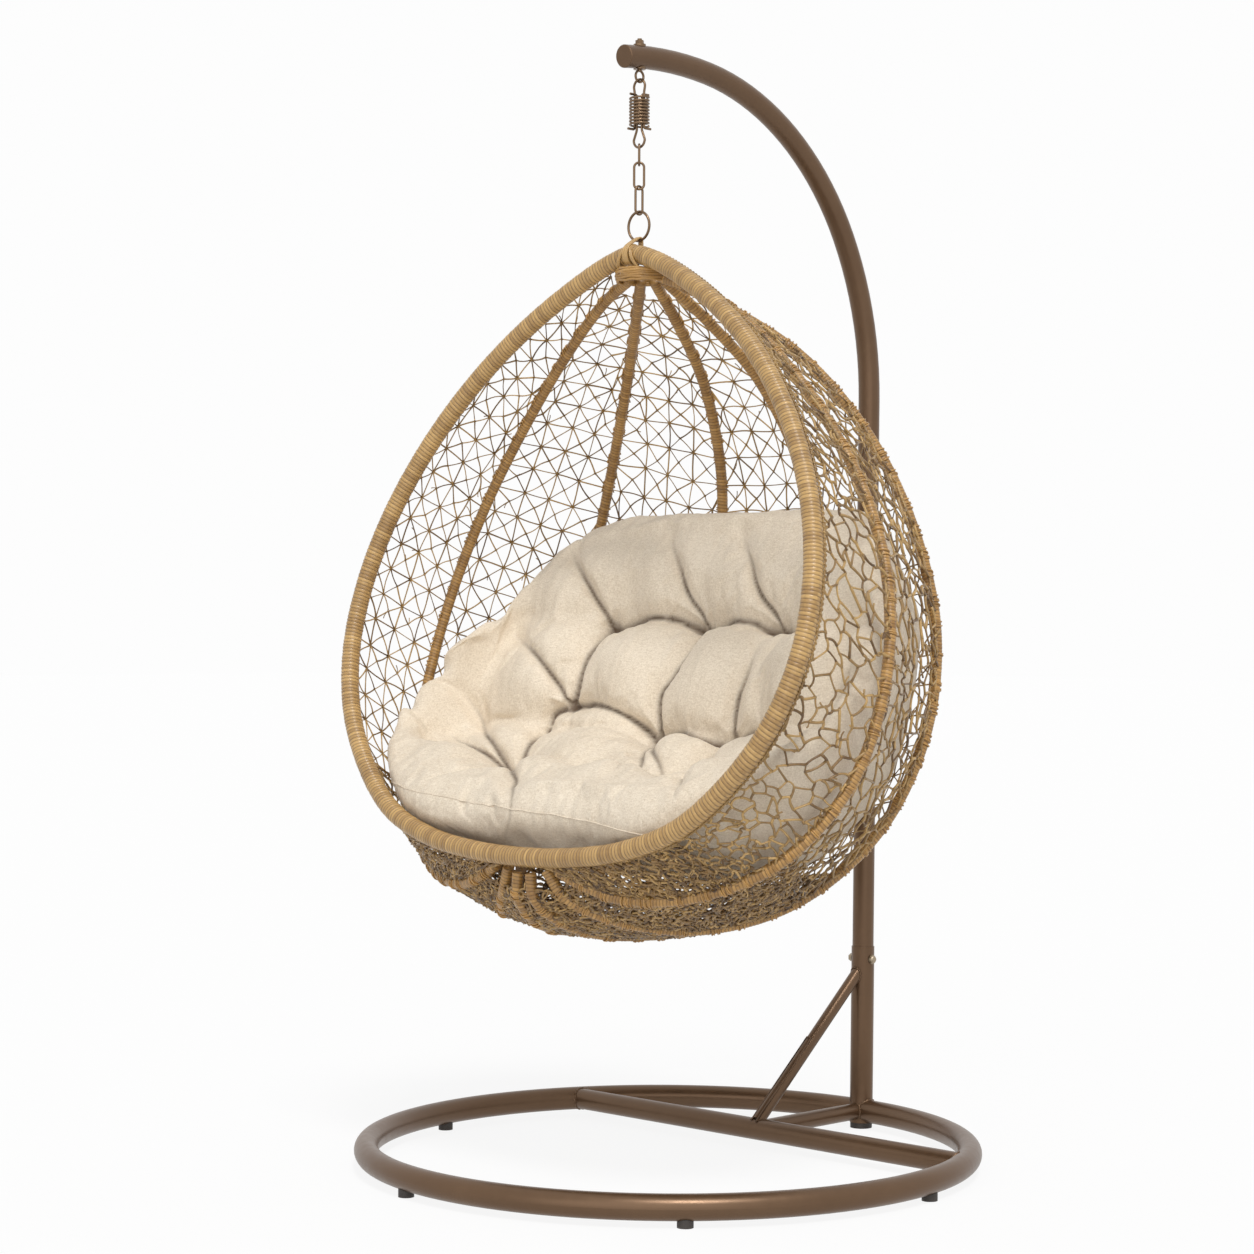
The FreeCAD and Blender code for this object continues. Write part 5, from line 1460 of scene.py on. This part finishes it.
# %% Front seam
SEAM = ((-0.420, -0.270, 0.655), (-0.309, -0.324, 0.642), (-0.195, -0.331, 0.634),
        (-0.051, -0.336, 0.622), (0.049, -0.336, 0.616), (0.175, -0.336, 0.603),
        (0.271, -0.324, 0.594), (0.360, -0.290, 0.592), (0.420, -0.240, 0.600))
surface = bvhtree.BVHTree.FromPolygons(creased_spots.tolist(),
                                       [tuple(f.vertices) for f in fine.polygons])
seam_line = []
for point in smooth_line(SEAM, 0.004):
    spot, facing, _, _ = surface.find_nearest(Vector(point))
    seam_line.append(np.array(spot) + np.array(facing) * 0.0002)
seam_line = smooth_line(np.array(seam_line)[::2], 0.004)
seam = strip_piece("cushion_seam", seam_line[None, :, :], 0.0011, 90, sides=8, tones=(0.4, 0.5))
dress(seam, COVER, "basket", "cushion_cloth")
print("seam", round(len(seam_line) * 0.004, 2), "m")

# %% [markdown]
# ## Light and floor
# The photograph is a plain studio picture: soft light from above and in front, and a white
# floor that keeps only a faint shadow.

# %% World
world = bpy.data.worlds.new("studio")
bpy.context.scene.world = world
world.use_nodes = True
tree = world.node_tree
tree.nodes.clear()
out = tree.nodes.new("ShaderNodeOutputWorld")
PAPER_WHITE = 0.982
SKY_STRENGTH = 0.42


def seen_directly(tree):
    """One for what the camera sees, also in a gloss or through glass, and zero for light."""
    path = tree.nodes.new("ShaderNodeLightPath")
    seen = maths(tree, "MAXIMUM", path.outputs["Is Camera Ray"], path.outputs["Is Glossy Ray"])
    return maths(tree, "MAXIMUM", seen, path.outputs["Is Transmission Ray"])


seen = node(tree, "ShaderNodeBackground", {"Color": (1, 1, 1, 1), "Strength": PAPER_WHITE})
lit = node(tree, "ShaderNodeBackground", {"Color": (1, 1, 1, 1), "Strength": SKY_STRENGTH})
pick = tree.nodes.new("ShaderNodeMixShader")
tree.links.new(seen_directly(tree), pick.inputs[0])
tree.links.new(lit.outputs[0], pick.inputs[1])
tree.links.new(seen.outputs[0], pick.inputs[2])
tree.links.new(pick.outputs[0], out.inputs[0])


# %% Lamps and floor
def sun(name, strength, spread, towards):
    """A soft sun shining towards a direction."""
    data = bpy.data.lights.new(name, "SUN")
    data.energy = strength
    data.angle = math.radians(spread)
    lamp = bpy.data.objects.new(name, data)
    lamp.rotation_mode = "QUATERNION"
    lamp.rotation_quaternion = Vector(towards).to_track_quat("-Z", "Y")
    bpy.context.scene.collection.objects.link(lamp)
    print("lamp", name, strength)


sun("key", 1.7, 14, -above * 0.9 + look * 0.55 - right * 0.12)
sun("fill", 1.0, 70, -above * 0.25 + look * 1.0 + right * 0.2)

FLOOR_HALF = 40
FLOOR_GLOW = 0.88
FLOOR_SIGNS = ((-1, -1), (1, -1), (1, 1), (-1, 1))
floor_corners = [(x * FLOOR_HALF, y * FLOOR_HALF, 0) for x, y in FLOOR_SIGNS]
floor = make_mesh("floor", floor_corners, [(0, 1, 2, 3)])
white, tree, shader, where = new_material("studio_floor")
shader.inputs["Base Color"].default_value = (0.9, 0.9, 0.9, 1)
shader.inputs["Roughness"].default_value = 0.9
shader.inputs["Specular IOR Level"].default_value = 0.1
bright = node(tree, "ShaderNodeEmission", {"Color": (1, 1, 1, 1), "Strength": 1.0})
blend = tree.nodes.new("ShaderNodeMixShader")
tree.links.new(maths(tree, "MULTIPLY", seen_directly(tree), FLOOR_GLOW), blend.inputs[0])
tree.links.new(shader.outputs[0], blend.inputs[1])
tree.links.new(bright.outputs[0], blend.inputs[2])
out = next(n for n in tree.nodes if n.type == "OUTPUT_MATERIAL")
tree.links.new(blend.outputs[0], out.inputs[0])
floor.data.materials.append(white)
bpy.context.scene.view_settings.view_transform = "Standard"
